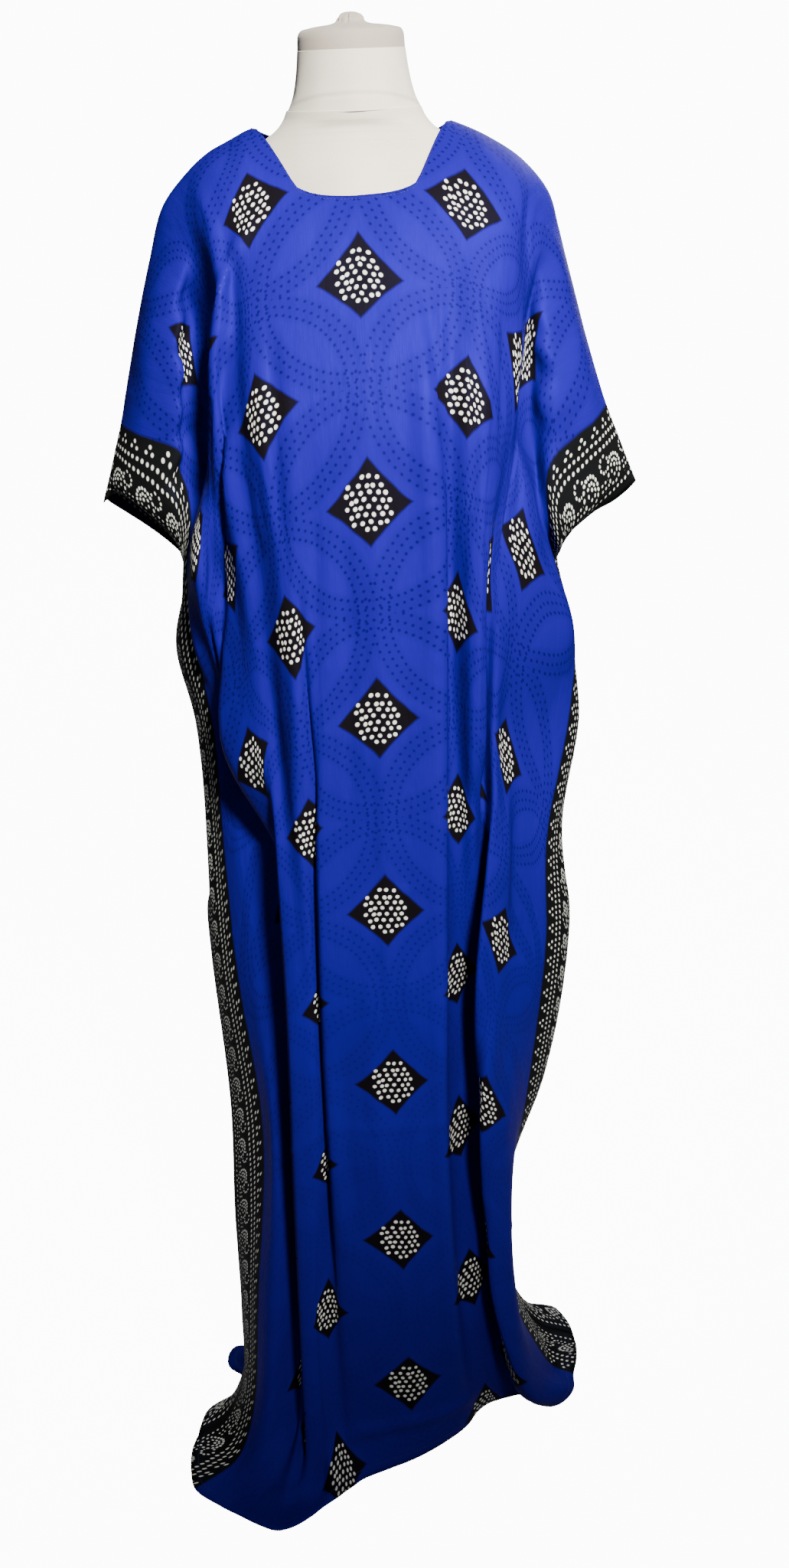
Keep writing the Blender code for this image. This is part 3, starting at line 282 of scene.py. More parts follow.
        (0.73, 0.202, 0.010), (0.60, 0.209, 0.006), (0.41, 0.180, 0.004), (0.27, 0.130, 0.016),
        (0.14, 0.130, 0.026), (0.045, 0.158, 0.028), (0.004, 0.187, 0.022), (FLOOR_Z, 0.223, 0.010))),
    ("right seam", 0.495, (
        (1.094, 0.266, -0.002), (1.084, 0.250, -0.010), (1.076, 0.232, -0.016), (1.060, 0.210, -0.020),
        (1.046, 0.197, -0.008), (1.038, 0.188, 0.017)) + RIGHT_SEAM),
)

# Back panel: height, how far back the cloth hangs, and how deep its folds are there.
BACK_SECTIONS = (
    (1.437, 0.068, 0.0),
    (1.422, 0.075, 0.0),
    (1.400, 0.086, 0.0),
    (1.360, 0.100, 0.0),
    (1.300, 0.118, 0.05),
    (1.180, 0.128, 0.25),
    (1.030, 0.136, 0.60),
    (0.860, 0.142, 0.90),
    (0.600, 0.148, 1.0),
    (0.300, 0.152, 1.0),
    (0.045, 0.160, 1.0),
)
# Folds of the back panel: s of the fold's middle, half of its width in s, depth.
BACK_FOLDS = (
    (-0.410, 0.055, 0.036),
    (-0.297, 0.062, 0.048),
    (-0.165, 0.062, 0.044),
    (-0.050, 0.054, 0.034),
    (0.064, 0.056, 0.038),
    (0.184, 0.060, 0.046),
    (0.303, 0.058, 0.044),
    (0.410, 0.050, 0.034),
)
BACK_ROUND = 0.80  # below 1 the back is squarer than an ellipse
BACK_DRIFT = 0.010  # how far the middle of a fold wanders sideways down the back
BACK_WAVER = (9, 40)  # how fast that changes with height, and from fold to fold
STEEPEST_WALL = 0.12  # square of the least share of the cloth that runs sideways on a fold's wall
FOLDS_FORWARD = 1.6  # the folds sink in this much more forwards than sideways
BACK_LEVELS = (UNDERARM_Z, 0.95, 0.86, 0.73, 0.60, 0.50, 0.41, 0.34, 0.27, 0.20, 0.14, 0.045)
BACK_SPREAD = 0.030  # how far the back runs out over the floor
BACK_HEM_SHARES = (0.5, 1.3)  # shares of that run just above the floor and on it
BACK_ASIDE = 0.35  # share of its sideways run on the left, where it stays behind the front
SEAM_PULL = 0.15  # within this distance of a side seam the hem of the back runs out as the seam does

# The back above the underarm, where the middle lies on the shoulders and the rest is sleeve.
BACK_UPPER_LEVELS = (1.437, 1.422, 1.400, 1.360, 1.300, 1.200, 1.120)
SLEEVE_FROM = (0.15, 0.31)  # s where the sleeve starts, and where all of the cloth hangs as sleeve
SHOULDER_SPAN = 0.32  # half of the width of the curve that the back follows across the shoulders
SLEEVE_HANG = 0.056  # how far the back of a sleeve stands out halfway down
BODY_GAP = 0.004  # least height between the shoulder line and the first knot
SLEEVE_GAP = 0.030  # and this much more where the cloth hangs as sleeve

# Print, in metres on the cloth. Two sets of diamonds alternate, each on its own even grid.
DIAMOND_ACROSS = 0.202
DIAMOND_DOWN = 0.200
FIRST_DIAMOND = 0.185  # t of the highest diamond on the centre line
DIAMOND_REACH = 0.040  # centre to tip
DOT = 0.0020  # radius of a white dot
DIAMOND_ROUND = 0.93  # below 1 the sides of a diamond are hollow
FIELD_HALF = 0.352  # the diamonds stay within this distance of the centre line
FIELD_TOP = 0.04  # their middles lie further down than this t
FIELD_FOOT = (1.6, 0.8)  # and less far than this one, by this much less a metre to the side
PRINT_WANDER = 0.0022  # how far the print strays from its even grid
DOT_ROW = 0.0065  # distance between the rows of white dots in a diamond
DOT_ALONG = 0.0074  # distance between the dots of a row
DOTS_LOOSE = 0.34  # how far the dots stray from their rows, 0 to 1
CELL_SHIFT = (20.3, 20.6)  # sets the grid of dots off the diamond's middle, and keeps it above 0
CLUSTER_HALF = 0.0215  # half of the width of a diamond's group of dots
CLUSTER_CORNER = 0.0248  # how far out the slanted sides of the group are
SPOT_RINGS = (0.087, 0.095, 0.103)  # rings of dark spots round every diamond
SPOTS_ROUND = 80
SPOT = (0.0014, 0.0006)  # radius of a dark spot and how soft its edge is
SPOT_BAND = (0.0115, 0.003)  # half of the width of the band round the rings, and its softness
BORDER_EDGE = 0.410  # where the dark border starts
BORDER_SOFT = 0.0035  # width over which it starts
# Straight rows of dots in the border: distance from its edge, pitch, t of a dot, radius.
BORDER_ROWS = (
    (0.0072, 0.0201, 0.0, 0.0017),
    (0.0127, 0.0201, 0.0039, 0.0017),
    (0.0127, 0.0201, -0.0039, 0.0017),
    (0.0210, 0.0067, 0.0, 0.0017),
    (0.0300, 0.0067, 0.0033, 0.0017),
    (0.0712, 0.0067, 0.0, 0.0015),
)
PAISLEY_PITCH = 0.0402
PAISLEY_MIDDLE = 0.0505  # from the border's edge
# Loops of dots in a paisley, the outer, the inner and the tail: t, distance outwards from the
# middle, radius, turn of the loop's point, number of dots, radius of a dot.
PAISLEY_LOOPS = (
    (0.0, 0.0, 0.0112, 0.9, 15, 0.0014),
    (0.0, 0.0, 0.0056, 0.9, 8, 0.0012),
    (0.0172, -0.0065, 0.0062, 3.6, 8, 0.0012),
)
HEART_DOT = 0.0014  # radius of the dot in the middle of a paisley
PAISLEY_CLEAR = 0.0028  # the tail and the small dots keep this far outside the outer loop
PAISLEY_HALF = 0.0150  # and lie within this distance of the middle
# Small dots between the paisleys.
FILL_PITCH = 0.0052
FILL_START = 0.0105
FILL_DOT = 0.0011
FILL_ALONG = 0.0082  # half of the length that they take up
FILL_OUT = (0.0045, 0.0145)  # their least and greatest distance outwards from the middle

WEAVE = (0.0011, 0.0013)  # pitch of the satin's threads, across and down
KNIT = (0.0012, 0.0010)  # pitch of the jersey's stitches, across and up
# Colours of the satin: bright blue, deep blue, ground of the diamonds, ground of the border, white.
RIGHT_SIDE = (
    (0.012, 0.0035, 0.21),
    (0.006, 0.002, 0.09),
    (0.005, 0.004, 0.005),
    (0.005, 0.0055, 0.005),
    (0.74, 0.77, 0.73),
)
WRONG_SIDE = (
    (0.022, 0.018, 0.19),
    (0.014, 0.012, 0.12),
    (0.022, 0.022, 0.05),
    (0.014, 0.015, 0.020),
    (0.46, 0.48, 0.52),
)

# Map for baking. The right side, the rim's strip and the wrong side stand next to each other.
BAKE_OUTER = (0.002, 0.776)  # start and width of the right side
BAKE_RIM = (0.783, 0.791)  # both edges of the rim's strip
BAKE_INNER = (0.796, 0.202)  # start and width of the wrong side
BAKE_DOWN = (0.998, 0.996)  # place of the shoulder line, and length of the cut

STITCH = {
    "Pitch": 0.0032,
    "Stitch length": 0.0027,
    "Thread width": 0.00055,
    "Unevenness": 0.07,
    "Seed": 3,
}
THREAD_ABOVE = 0.0001  # middle of the thread above the face of the cloth
NECK_STITCH_IN = 0.004  # from the neckline to its row of stitches
HEM_STITCH_IN = 0.010  # from the hem to its row of stitches

# Dress form, from the bottom of the torso to the top of the neck: z, half width, half depth, y.
FORM_SECTIONS = (
    (0.742, 0.090, 0.052, 0.014),
    (0.745, 0.120, 0.074, 0.014),
    (0.756, 0.136, 0.088, 0.013),
    (0.800, 0.144, 0.095, 0.012),
    (0.860, 0.145, 0.096, 0.011),
    (0.950, 0.133, 0.091, 0.007),
    (1.050, 0.114, 0.089, 0.004),
    (1.130, 0.124, 0.104, -0.006),
    (1.190, 0.134, 0.114, -0.011),
    (1.240, 0.140, 0.111, -0.006),
    (1.290, 0.146, 0.098, 0.005),
    (1.330, 0.152, 0.085, 0.010),
    (1.360, 0.157, 0.074, 0.012),
    (1.385, 0.156, 0.061, 0.013),
    (1.400, 0.147, 0.053, 0.0125),
    (1.411, 0.131, 0.048, 0.012),
    (1.421, 0.112, 0.046, 0.012),
    (1.430, 0.093, 0.043, 0.009),
    (1.440, 0.078, 0.044, 0.008),
    (1.450, 0.069, 0.046, 0.0075),
    (1.4590, 0.0645, 0.0495, 0.008),
)
NECK_SECTIONS = (
    (1.4582, 0.0640, 0.0505, 0.008),
    (1.4595, 0.0633, 0.0505, 0.008),
    (1.468, 0.0590, 0.0500, 0.007),
    (1.480, 0.0556, 0.0492, 0.007),
    (1.494, 0.0530, 0.0486, 0.0065),
    (1.508, 0.0512, 0.0480, 0.006),
)
CAP_SECTIONS = (
    (1.5078, 0.0509, 0.0478, 0.006),
    (1.5140, 0.0506, 0.0478, 0.006),
    (1.5200, 0.0500, 0.0470, 0.006),
    (1.5240, 0.0478, 0.0448, 0.006),
    (1.5262, 0.0400, 0.0375, 0.006),
    (1.5278, 0.0290, 0.0272, 0.006),
    (1.5290, 0.0190, 0.0180, 0.006),
    (1.5310, 0.0135, 0.0130, 0.006),
    (1.5338, 0.0115, 0.0108, 0.006),
    (1.5362, 0.0095, 0.0088, 0.006),
    (1.5380, 0.0060, 0.0058, 0.006),
    (1.5388, 0.0022, 0.0022, 0.006),
)
TORSO_POWER = 2.25  # above 2 its sections are squarer than an ellipse
NECK_SEAM_Z = 1.4595  # seam at the foot of the neck
# Pulls and gathers: number round the neck, turn, share of the full height.
NECK_PULLS = ((5, 0.8, 1.0), (11, 0.0, 0.5))
CAP_GATHERS = ((15, 0.0, 1.0), (23, 1.0, 0.6), (9, 2.0, 0.4))
PULL_HEIGHT = 0.0006
NECK_PULLS_FADE = (1.512, 1.466)  # z where the pulls end, and where they are full
GATHERS_RISE = (1.5215, 1.5285)  # z where the gathers start, and where they are full
KNOT_TWIST = (5, 300, 0.0010)  # number round the knot, lean as it rises, height
TWIST_RISE = (1.5310, 1.5345)
NECK_TILT = 0.28  # the neck and its cap rise this steeply towards the back
TILT_FROM = 1.430  # height where the tilt starts
TILT_FULL = 1.455

# How far the weight of the cloth has drawn the print down, by column of diamonds: the columns' s,
# then t along the cloth followed by the sag at each column.
SAG_COLUMNS = (-0.303, -0.202, -0.101, 0.0, 0.101, 0.202, 0.303)
PRINT_SAG = (
    (0.00, 0.036, 0.036, 0.034, 0.000, 0.040, 0.040, 0.040),
    (0.12, 0.036, 0.036, 0.034, 0.000, 0.040, 0.040, 0.040),
    (0.20, 0.034, 0.030, 0.028, 0.001, 0.020, 0.036, 0.038),
    (0.31, 0.034, 0.020, 0.023, 0.004, 0.011, 0.030, 0.034),
    (0.50, 0.030, 0.004, 0.026, 0.008, 0.010, 0.020, 0.050),
    (0.60, 0.025, 0.000, 0.027, 0.008, 0.014, 0.016, 0.052),
    (0.74, 0.018, 0.000, 0.024, 0.008, 0.016, 0.014, 0.050),
    (0.90, 0.010, 0.000, 0.012, 0.006, 0.008, 0.010, 0.040),
    (1.05, 0.005, 0.000, 0.005, 0.003, 0.000, 0.004, 0.020),
    (1.25, 0.000, 0.000, -0.004, 0.000, 0.000, 0.000, 0.000),
    (1.50, 0.000, 0.000, -0.006, 0.000, 0.000, 0.000, 0.000),
)

# Folds and creases laid on the panels: half of the width, height (below 0 a trough), then (s, t).
FRONT_CREASES = (
    (0.013, 0.0050, (
        (-0.070, 0.110), (-0.077, 0.118), (-0.106, 0.138), (-0.136, 0.152), (-0.159, 0.166),
        (-0.171, 0.186), (-0.173, 0.214), (-0.180, 0.245), (-0.204, 0.275), (-0.240, 0.315))),
    (0.022, 0.0040, (
        (-0.240, 0.315), (-0.275, 0.350), (-0.305, 0.385), (-0.320, 0.440), (-0.325, 0.520))),
    (0.018, -0.0110, (
        (-0.158, 0.205), (-0.153, 0.247), (-0.162, 0.298), (-0.190, 0.345), (-0.220, 0.380))),
    (0.024, -0.0080, (
        (-0.205, 0.350), (-0.235, 0.400), (-0.255, 0.450), (-0.262, 0.520), (-0.262, 0.600))),
    (0.006, 0.0018, (
        (-0.147, 0.301), (-0.136, 0.333), (-0.130, 0.364), (-0.128, 0.400), (-0.124, 0.431))),
    (0.006, 0.0016, ((-0.165, 0.046), (-0.159, 0.097), (-0.153, 0.132))),
    (0.008, -0.0040, ((-0.082, 0.215), (-0.084, 0.297), (-0.092, 0.379), (-0.096, 0.440))),
    (0.013, 0.0030, (
        (-0.066, 0.230), (-0.068, 0.324), (-0.080, 0.417), (-0.100, 0.560), (-0.116, 0.667),
        (-0.122, 0.783), (-0.126, 0.900), (-0.138, 1.147))),
    (0.011, -0.0030, (
        (-0.050, 0.330), (-0.053, 0.385), (-0.059, 0.492), (-0.071, 0.638), (-0.080, 0.760))),
    (0.013, -0.0026, (
        (-0.022, 0.360), (-0.024, 0.419), (-0.024, 0.529), (-0.029, 0.650), (-0.034, 0.740))),
    (0.014, -0.0016, ((0.028, 0.420), (0.026, 0.560), (0.024, 0.700), (0.022, 0.900))),
    (0.012, 0.0020, ((0.006, 0.300), (0.004, 0.480), (0.002, 0.700), (-0.004, 1.000))),
    (0.008, -0.0060, ((0.060, 0.180), (0.063, 0.241), (0.067, 0.273), (0.070, 0.329), (0.073, 0.400))),
    (0.010, 0.0025, ((0.047, 0.230), (0.050, 0.329), (0.054, 0.450), (0.056, 0.600))),
    (0.007, 0.0028, (
        (0.104, 0.150), (0.112, 0.215), (0.124, 0.261), (0.130, 0.319), (0.136, 0.370), (0.146, 0.441),
        (0.143, 0.558), (0.147, 0.631))),
    (0.009, -0.0020, ((0.090, 0.180), (0.098, 0.240), (0.110, 0.300), (0.118, 0.370), (0.126, 0.441))),
    (0.010, -0.0022, ((0.150, 0.190), (0.158, 0.260), (0.166, 0.330))),
    (0.007, 0.0020, ((0.196, 0.030), (0.200, 0.060), (0.214, 0.090), (0.236, 0.110))),
    (0.004, 0.0018, ((-0.012, 0.781), (0.012, 0.775), (0.046, 0.767))),
    (0.004, 0.0014, ((0.262, 0.732), (0.320, 0.706), (0.370, 0.675))),
    (0.004, 0.0014, ((-0.440, 0.612), (-0.377, 0.663), (-0.340, 0.690))),
    (0.004, 0.0014, ((0.004, 0.578), (0.035, 0.586), (0.065, 0.600))),
    (0.004, 0.0012, ((0.100, 0.395), (0.135, 0.398))),
    (0.016, -0.0030, ((-0.050, 0.900), (-0.052, 1.050), (-0.050, 1.200))),
    (0.016, 0.0024, ((-0.022, 0.820), (-0.020, 1.000), (-0.016, 1.200))),
    (0.018, -0.0050, ((-0.190, 1.395), (-0.225, 1.410), (-0.242, 1.435))),
    (0.012, 0.0040, (
        (-0.120, 1.462), (-0.060, 1.446), (-0.010, 1.440), (0.060, 1.446), (0.110, 1.452))),
    (0.010, 0.0030, ((-0.330, 1.430), (-0.280, 1.450), (-0.215, 1.456), (-0.160, 1.450))),
)
BACK_CREASES = (
    (0.013, 0.0040, ((0.080, 0.080), (0.110, 0.110), (0.140, 0.160), (0.160, 0.230), (0.190, 0.320))),
    (0.012, 0.0032, ((-0.074, 0.075), (-0.100, 0.120), (-0.124, 0.190), (-0.140, 0.280))),
    (0.016, -0.0080, ((0.150, 0.260), (0.176, 0.330), (0.214, 0.410), (0.240, 0.520))),
    (0.016, -0.0070, ((-0.130, 0.300), (-0.160, 0.380), (-0.190, 0.470), (-0.200, 0.560))),
    (0.008, -0.0040, ((0.050, 0.200), (0.046, 0.300), (0.040, 0.420))),
    (0.008, -0.0036, ((-0.030, 0.230), (-0.034, 0.340), (-0.030, 0.460))),
    (0.012, 0.0030, ((0.010, 0.260), (0.008, 0.420), (0.012, 0.640), (0.010, 0.880))),
    (0.007, 0.0024, ((0.100, 0.240), (0.104, 0.340), (0.112, 0.430))),
    (0.004, 0.0016, ((-0.060, 0.776), (0.000, 0.780), (0.070, 0.772))),
    (0.004, 0.0014, ((0.280, 0.720), (0.360, 0.690))),
    (0.004, 0.0014, ((-0.400, 0.650), (-0.300, 0.700))),
    (0.006, 0.0018, ((0.250, 0.060), (0.262, 0.110), (0.280, 0.160))),
)

CREASE_FADE = 0.3  # share of a crease's length over which it fades at either end
# Creases from lying folded: t, half of the width, height. The one down the centre has s for t.
PRESSED_LINES = ((1.045, 0.007, 0.0008), (0.545, 0.006, 0.0004))
PRESSED_CENTRE = (0.0, 0.005, 0.0006)
CENTRE_FROM = (0.1, 0.3)  # t where the one down the centre starts, and where it is full
# Small folds all over: how many a metre across and down, start in the noise and its step from
# side to side, height.
SMALL_FOLDS = (
    (16, 2.2, 0.0, 3.1, 0.0016),
    (38, 5.5, 7.0, 2.3, 0.0007),
)
CALM_SIDES = 0.02  # all folds and creases die out this close to a selvedge
CALM_TOP = 0.05  # and this close to the shoulder line
FLAT_FROM = (0.012, 0.05)  # height where the small folds are gone, and where they are full

BACKDROP_BEND = 1.5  # radius of the curve between the white floor and the backdrop


# Shape of the cloth


def unit(vectors):
    return vectors / np.maximum(np.linalg.norm(vectors, axis=-1, keepdims=True), 1e-12)


def curve_piece(a, b, c, d, u):
    """The curve from b to c of a centripetal Catmull-Rom curve, at u from 0 to 1."""
    def step(p, q):
        return np.maximum(np.linalg.norm(q - p, axis=-1) ** 0.5, 1e-4)[..., None]

    d0, d1, d2 = step(a, b), step(b, c), step(c, d)
    out_b = ((b - a) / d0 - (c - a) / (d0 + d1) + (c - b) / d1) * d1
    into_c = ((c - b) / d1 - (d - b) / (d1 + d2) + (d - c) / d2) * d1
    u = np.asarray(u)[..., None]
    return (
        (2 * u**3 - 3 * u**2 + 1) * b
        + (u**3 - 2 * u**2 + u) * out_b
        + (3 * u**2 - 2 * u**3) * c
        + (u**3 - u**2) * into_c
    )


def run_of(line):
    """Length along a line of points, from its first point."""
    return np.concatenate(([0.0], np.cumsum(np.linalg.norm(np.diff(line, axis=0), axis=1))))


def smooth_line(knots):
    knots = np.asarray(knots, float)
    knots = np.vstack((2 * knots[0] - knots[1], knots, 2 * knots[-1] - knots[-2]))
    shares = np.linspace(0, 1, KNOT_STEPS + 1)[:-1]
    dense = [curve_piece(*knots[i : i + 4], shares) for i in range(len(knots) - 3)]
    return np.vstack(dense + [knots[-2:-1]])


def smoothstep(low, high, value):
    u = np.clip((value - low) / (high - low), 0.0, 1.0)
    return u * u * (3 - 2 * u)


def bump(value, middle, half):
    """1 at the middle, falling smoothly to 0 at half a width to each side."""
    return np.cos(np.clip((value - middle) / half, -1, 1) * math.pi / 2) ** 2


def at_height(table, z):
    """The other columns of a table, read at a height. Its first column is the height, falling."""
    rising = np.array(table)[::-1]
    return [np.interp(z, rising[:, 0], rising[:, k]) for k in range(1, rising.shape[1])]


def shoulder_point(s):
    table = np.array(SHOULDER_LINE)
    x, y, z = (np.interp(abs(s), table[:, 0], table[:, k]) for k in (1, 2, 3))
    if s < 0:
        share = smoothstep(NECK_HALF, HALF_WIDTH + LEFT_SLEEVE_PAST, -s)
        x += LEFT_SLEEVE_OUT * math.sin(math.pi * share)
        x = -x - LEFT_NECK_OUT * bump(-s, NECK_HALF, NECK_HALF)
    return np.array((x, y, z))


def neck_drop(s, bottom):
    """How far below the shoulder line the neckline is cut at this s."""
    s = abs(s)
    if s >= NECK_HALF:
        return 0.0
    corner = bottom * NECK_CORNER
    if s > NECK_FLAT:
        return corner * (NECK_HALF - s) / (NECK_HALF - NECK_FLAT)
    return bottom - (bottom - corner) * (s / NECK_FLAT) ** 4


def fold_rows(s, knots, side, drop):
    """Points down a fold and their t. side is -1 at the front and 1 at the back."""
    start = shoulder_point(s)
    over = start + np.array((0.0, side * SHOULDER_TURN[0], -SHOULDER_TURN[1]))
    line = smooth_line(np.vstack((start, over, [(x, y, z) for z, x, y in knots])))
    line[:, 2] = np.maximum(line[:, 2], FLOOR_Z)
    run = run_of(line)
    arm = np.interp(-UNDERARM_Z, -line[:, 2], run)
    upper = drop + (arm - drop) * np.linspace(0, 1, UPPER_ROWS + 1)
    lower = arm + (run[-1] - arm) * np.linspace(0, 1, LOWER_ROWS + 1)[1:]
    t = np.concatenate((upper, lower))
    return np.stack([np.interp(t, run, line[:, k]) for k in range(3)], axis=1), t


def between_folds(places, folds, columns):
    """Rows of points at every column, spaced evenly along the cloth between two folds."""
    first = 2 * folds[:, :1] - folds[:, 1:2]
    last = 2 * folds[:, -1:] - folds[:, -2:-1]
    padded = np.concatenate((first, folds, last), axis=1)
    made = np.empty((len(folds), len(columns), 3))
    fine = np.linspace(0, 1, FOLD_STEPS + 1)
    home = np.clip(np.searchsorted(places, columns, side="right") - 1, 0, len(places) - 2)
    for j in np.unique(home):
        a, b, c, d = (padded[:, j + k] for k in range(4))
        curve = np.stack([curve_piece(a, b, c, d, np.full(len(folds), u)) for u in fine], axis=1)
        steps = np.linalg.norm(np.diff(curve, axis=1), axis=2)
        run = np.concatenate((np.zeros((len(folds), 1)), np.cumsum(steps, axis=1)), axis=1)
        run /= run[:, -1:]
        for k in np.flatnonzero(home == j):
            share = min((columns[k] - places[j]) / (places[j + 1] - places[j]), 1.0)
            for i in range(len(folds)):
                u = np.interp(share, run[i], fine) * FOLD_STEPS
                m = min(int(u), FOLD_STEPS - 1)
                made[i, k] = curve[i, m] + (curve[i, m + 1] - curve[i, m]) * (u - m)
    return made


def front_panel(columns):
    places = [s for _, s, _ in FRONT_FOLDS]
    rows = [fold_rows(s, knots, -1, 0.0) for _, s, knots in FRONT_FOLDS]
    points = between_folds(places, np.stack([line for line, _ in rows], axis=1), columns)
    lengths = np.stack([t for _, t in rows], axis=1)
    t = np.stack([np.interp(columns, places, row) for row in lengths], axis=0)
    upper = slice(0, UPPER_ROWS + 1)
    for j in np.flatnonzero(np.abs(columns) < NECK_HALF):
        drop = neck_drop(columns[j], FRONT_NECK_DROP)
        wanted = drop + (t[UPPER_ROWS, j] - drop) * np.linspace(0, 1, UPPER_ROWS + 1)
        for k in range(3):
            points[upper, j, k] = np.interp(wanted, t[upper, j], points[upper, j, k])
        t[upper, j] = wanted
    return points, t


def back_section(z, columns):
    """x and y of the back panel at each column, at one height below the underarm."""
    reach, strength = at_height(BACK_SECTIONS, z)
    left, right = at_height(LEFT_SEAM, z), at_height(RIGHT_SEAM, z)
    turn = np.linspace(0, math.pi, 241)
    c, bulge = np.cos(turn), np.sin(turn) ** BACK_ROUND
    x = (left[0] + right[0]) / 2 + (right[0] - left[0]) / 2 * np.sign(c) * np.abs(c) ** BACK_ROUND
    y = (right[1] + (left[1] - right[1]) * (1 - c) / 2) * (1 - bulge) + reach * bulge
    arc = np.stack((x, y), axis=1)[::-1]
    run = run_of(arc)
    fine = np.linspace(-HALF_WIDTH, HALF_WIDTH, 991)
    depth = np.zeros_like(fine)
    for middle, half, deep in BACK_FOLDS:
        drift = BACK_DRIFT * math.sin(BACK_WAVER[0] * z + BACK_WAVER[1] * middle)
        depth += deep * strength * bump(fine, middle + drift, half)
    sideways = np.sqrt(np.maximum(1 - np.gradient(depth, fine) ** 2, STEEPEST_WALL))
    shares = np.concatenate(([0.0], np.cumsum((sideways[1:] + sideways[:-1]) / 2)))
    at = np.interp(columns, fine, shares / shares[-1]) * run[-1]
    place = np.stack([np.interp(at, run, arc[:, k]) for k in (0, 1)], axis=1)
    middle = np.array(((arc[0, 0] + arc[-1, 0]) / 2, 0.0))
    inward = unit((middle - place) * (1.0, FOLDS_FORWARD))
    place = place + inward * np.interp(columns, fine, depth)[:, None]
    return place[:, 0], place[:, 1]


def back_upper(s, start, x0, y0):
    """Knots of the back panel between the shoulder line and the underarm's height."""
    sleeve = smoothstep(*SLEEVE_FROM, abs(s))
    knots = []
    for z in BACK_UPPER_LEVELS:
        if z < start[2] - BODY_GAP - SLEEVE_GAP * sleeve:
            u = (start[2] - z) / (start[2] - UNDERARM_Z)
            reach = at_height(BACK_SECTIONS, z)[0]
            x = start[0] + (x0 - start[0]) * (u**2 + (u - u**2) * sleeve)
            body = start[1] + (reach - start[1]) * (1 - (abs(x) / SHOULDER_SPAN) ** 2)
            hang = SLEEVE_HANG * math.sin(math.pi * min(u * 1.05, 1))
            loose = start[1] + (y0 - start[1]) * u + hang
            knots.append((z, x, body + (loose - body) * sleeve))
    return knots


def back_panel(columns, front, front_t):
    sections = {z: back_section(z, columns) for z in BACK_LEVELS}
    foot = np.stack(sections[BACK_LEVELS[-1]], axis=1)
    paths = []
    for j, s in enumerate(columns):
        start = shoulder_point(s)
        knots = back_upper(s, start, *(row[j] for row in sections[UNDERARM_Z]))
        knots += [(z, sections[z][0][j], sections[z][1][j]) for z in BACK_LEVELS]
        out = smoothstep(HALF_WIDTH, HALF_WIDTH - SEAM_PULL, abs(s))
        aside = BACK_ASIDE if s < 0 else 1.0
        seam = np.array(LEFT_SEAM if s < 0 else RIGHT_SEAM)[-3:]
        for (z, *at), share in zip(seam[1:], BACK_HEM_SHARES):
            plain = unit((foot[j] - (0.0, 0.02)) * (aside, 1.0)) * BACK_SPREAD * share
            x, y = foot[j] + out * plain + (1 - out) * (at - seam[0, 1:])
            knots.append((z, x, y))
        paths.append(fold_rows(s, knots, 1, neck_drop(s, BACK_NECK_DROP)))
    points = np.stack([line for line, _ in paths], axis=1)
    t = np.stack([down for _, down in paths], axis=1)
    sewn = slice(UPPER_ROWS, None)
    for edge in (0, -1):
        points[sewn, edge] = front[sewn, edge]
        t[sewn, edge] = front_t[sewn, edge]
    return points, t


def along(points, before, after):
    """Direction of the cloth at each row of points, which halves the angle at a fold."""
    steps = unit(np.diff(np.concatenate((before[None], points, after[None])), axis=0))
    return steps[:-1] + steps[1:]


def normals(points, other, side, sewn):
    """Outward normals of a panel. other is the panel that it is sewn to, sewn its shoulder seam."""
    above = np.where(sewn[:, None], other[1], 2 * points[0] - points[1])
    down = along(points, above, 2 * points[-1] - points[-2])
    left, right = 2 * points[:, 0] - points[:, 1], 2 * points[:, -1] - points[:, -2]
    seam = slice(UPPER_ROWS, None)
    left[seam], right[seam] = other[seam, 1], other[seam, -2]
    over = along(points.transpose(1, 0, 2), left, right).transpose(1, 0, 2)
    return unit(side * np.cross(over, down))


def sagged(s, t):
    """t on the print of each place on the cloth."""
    table = np.array(PRINT_SAG)
    by_column = np.stack([np.interp(t, table[:, 0], row) for row in table[:, 1:].T], axis=-1)
    sag = np.empty_like(t)
    for j, place in enumerate(s):
        share = np.interp(place, SAG_COLUMNS, np.arange(len(SAG_COLUMNS)))
        k = min(int(share), len(SAG_COLUMNS) - 2)
        sag[:, j] = by_column[:, j, k] + (by_column[:, j, k + 1] - by_column[:, j, k]) * (share - k)
    return t - sag


def crease_lift(s, t, creases):
    """How far the listed folds and creases lift the cloth. Each fades at both of its ends."""
    across = np.broadcast_to(s, t.shape)
    lift = np.zeros(t.shape)
    for half, high, line in creases:
        line = np.array(line)
        run = run_of(line)
        nearest, place = np.full(t.shape, np.inf), np.zeros(t.shape)
        for a, b, start, end in zip(line[:-1], line[1:], run[:-1], run[1:]):
            step = b - a
            share = ((across - a[0]) * step[0] + (t - a[1]) * step[1]) / (step @ step)
            share = np.clip(share, 0, 1)
            away = np.hypot(across - a[0] - share * step[0], t - a[1] - share * step[1])
            place = np.where(away < nearest, start + share * (end - start), place)
            nearest = np.minimum(away, nearest)
        place /= run[-1]
        ends = smoothstep(0.0, CREASE_FADE, place) * smoothstep(1.0, 1.0 - CREASE_FADE, place)
        lift += high * bump(nearest, 0.0, half) * ends
    return lift


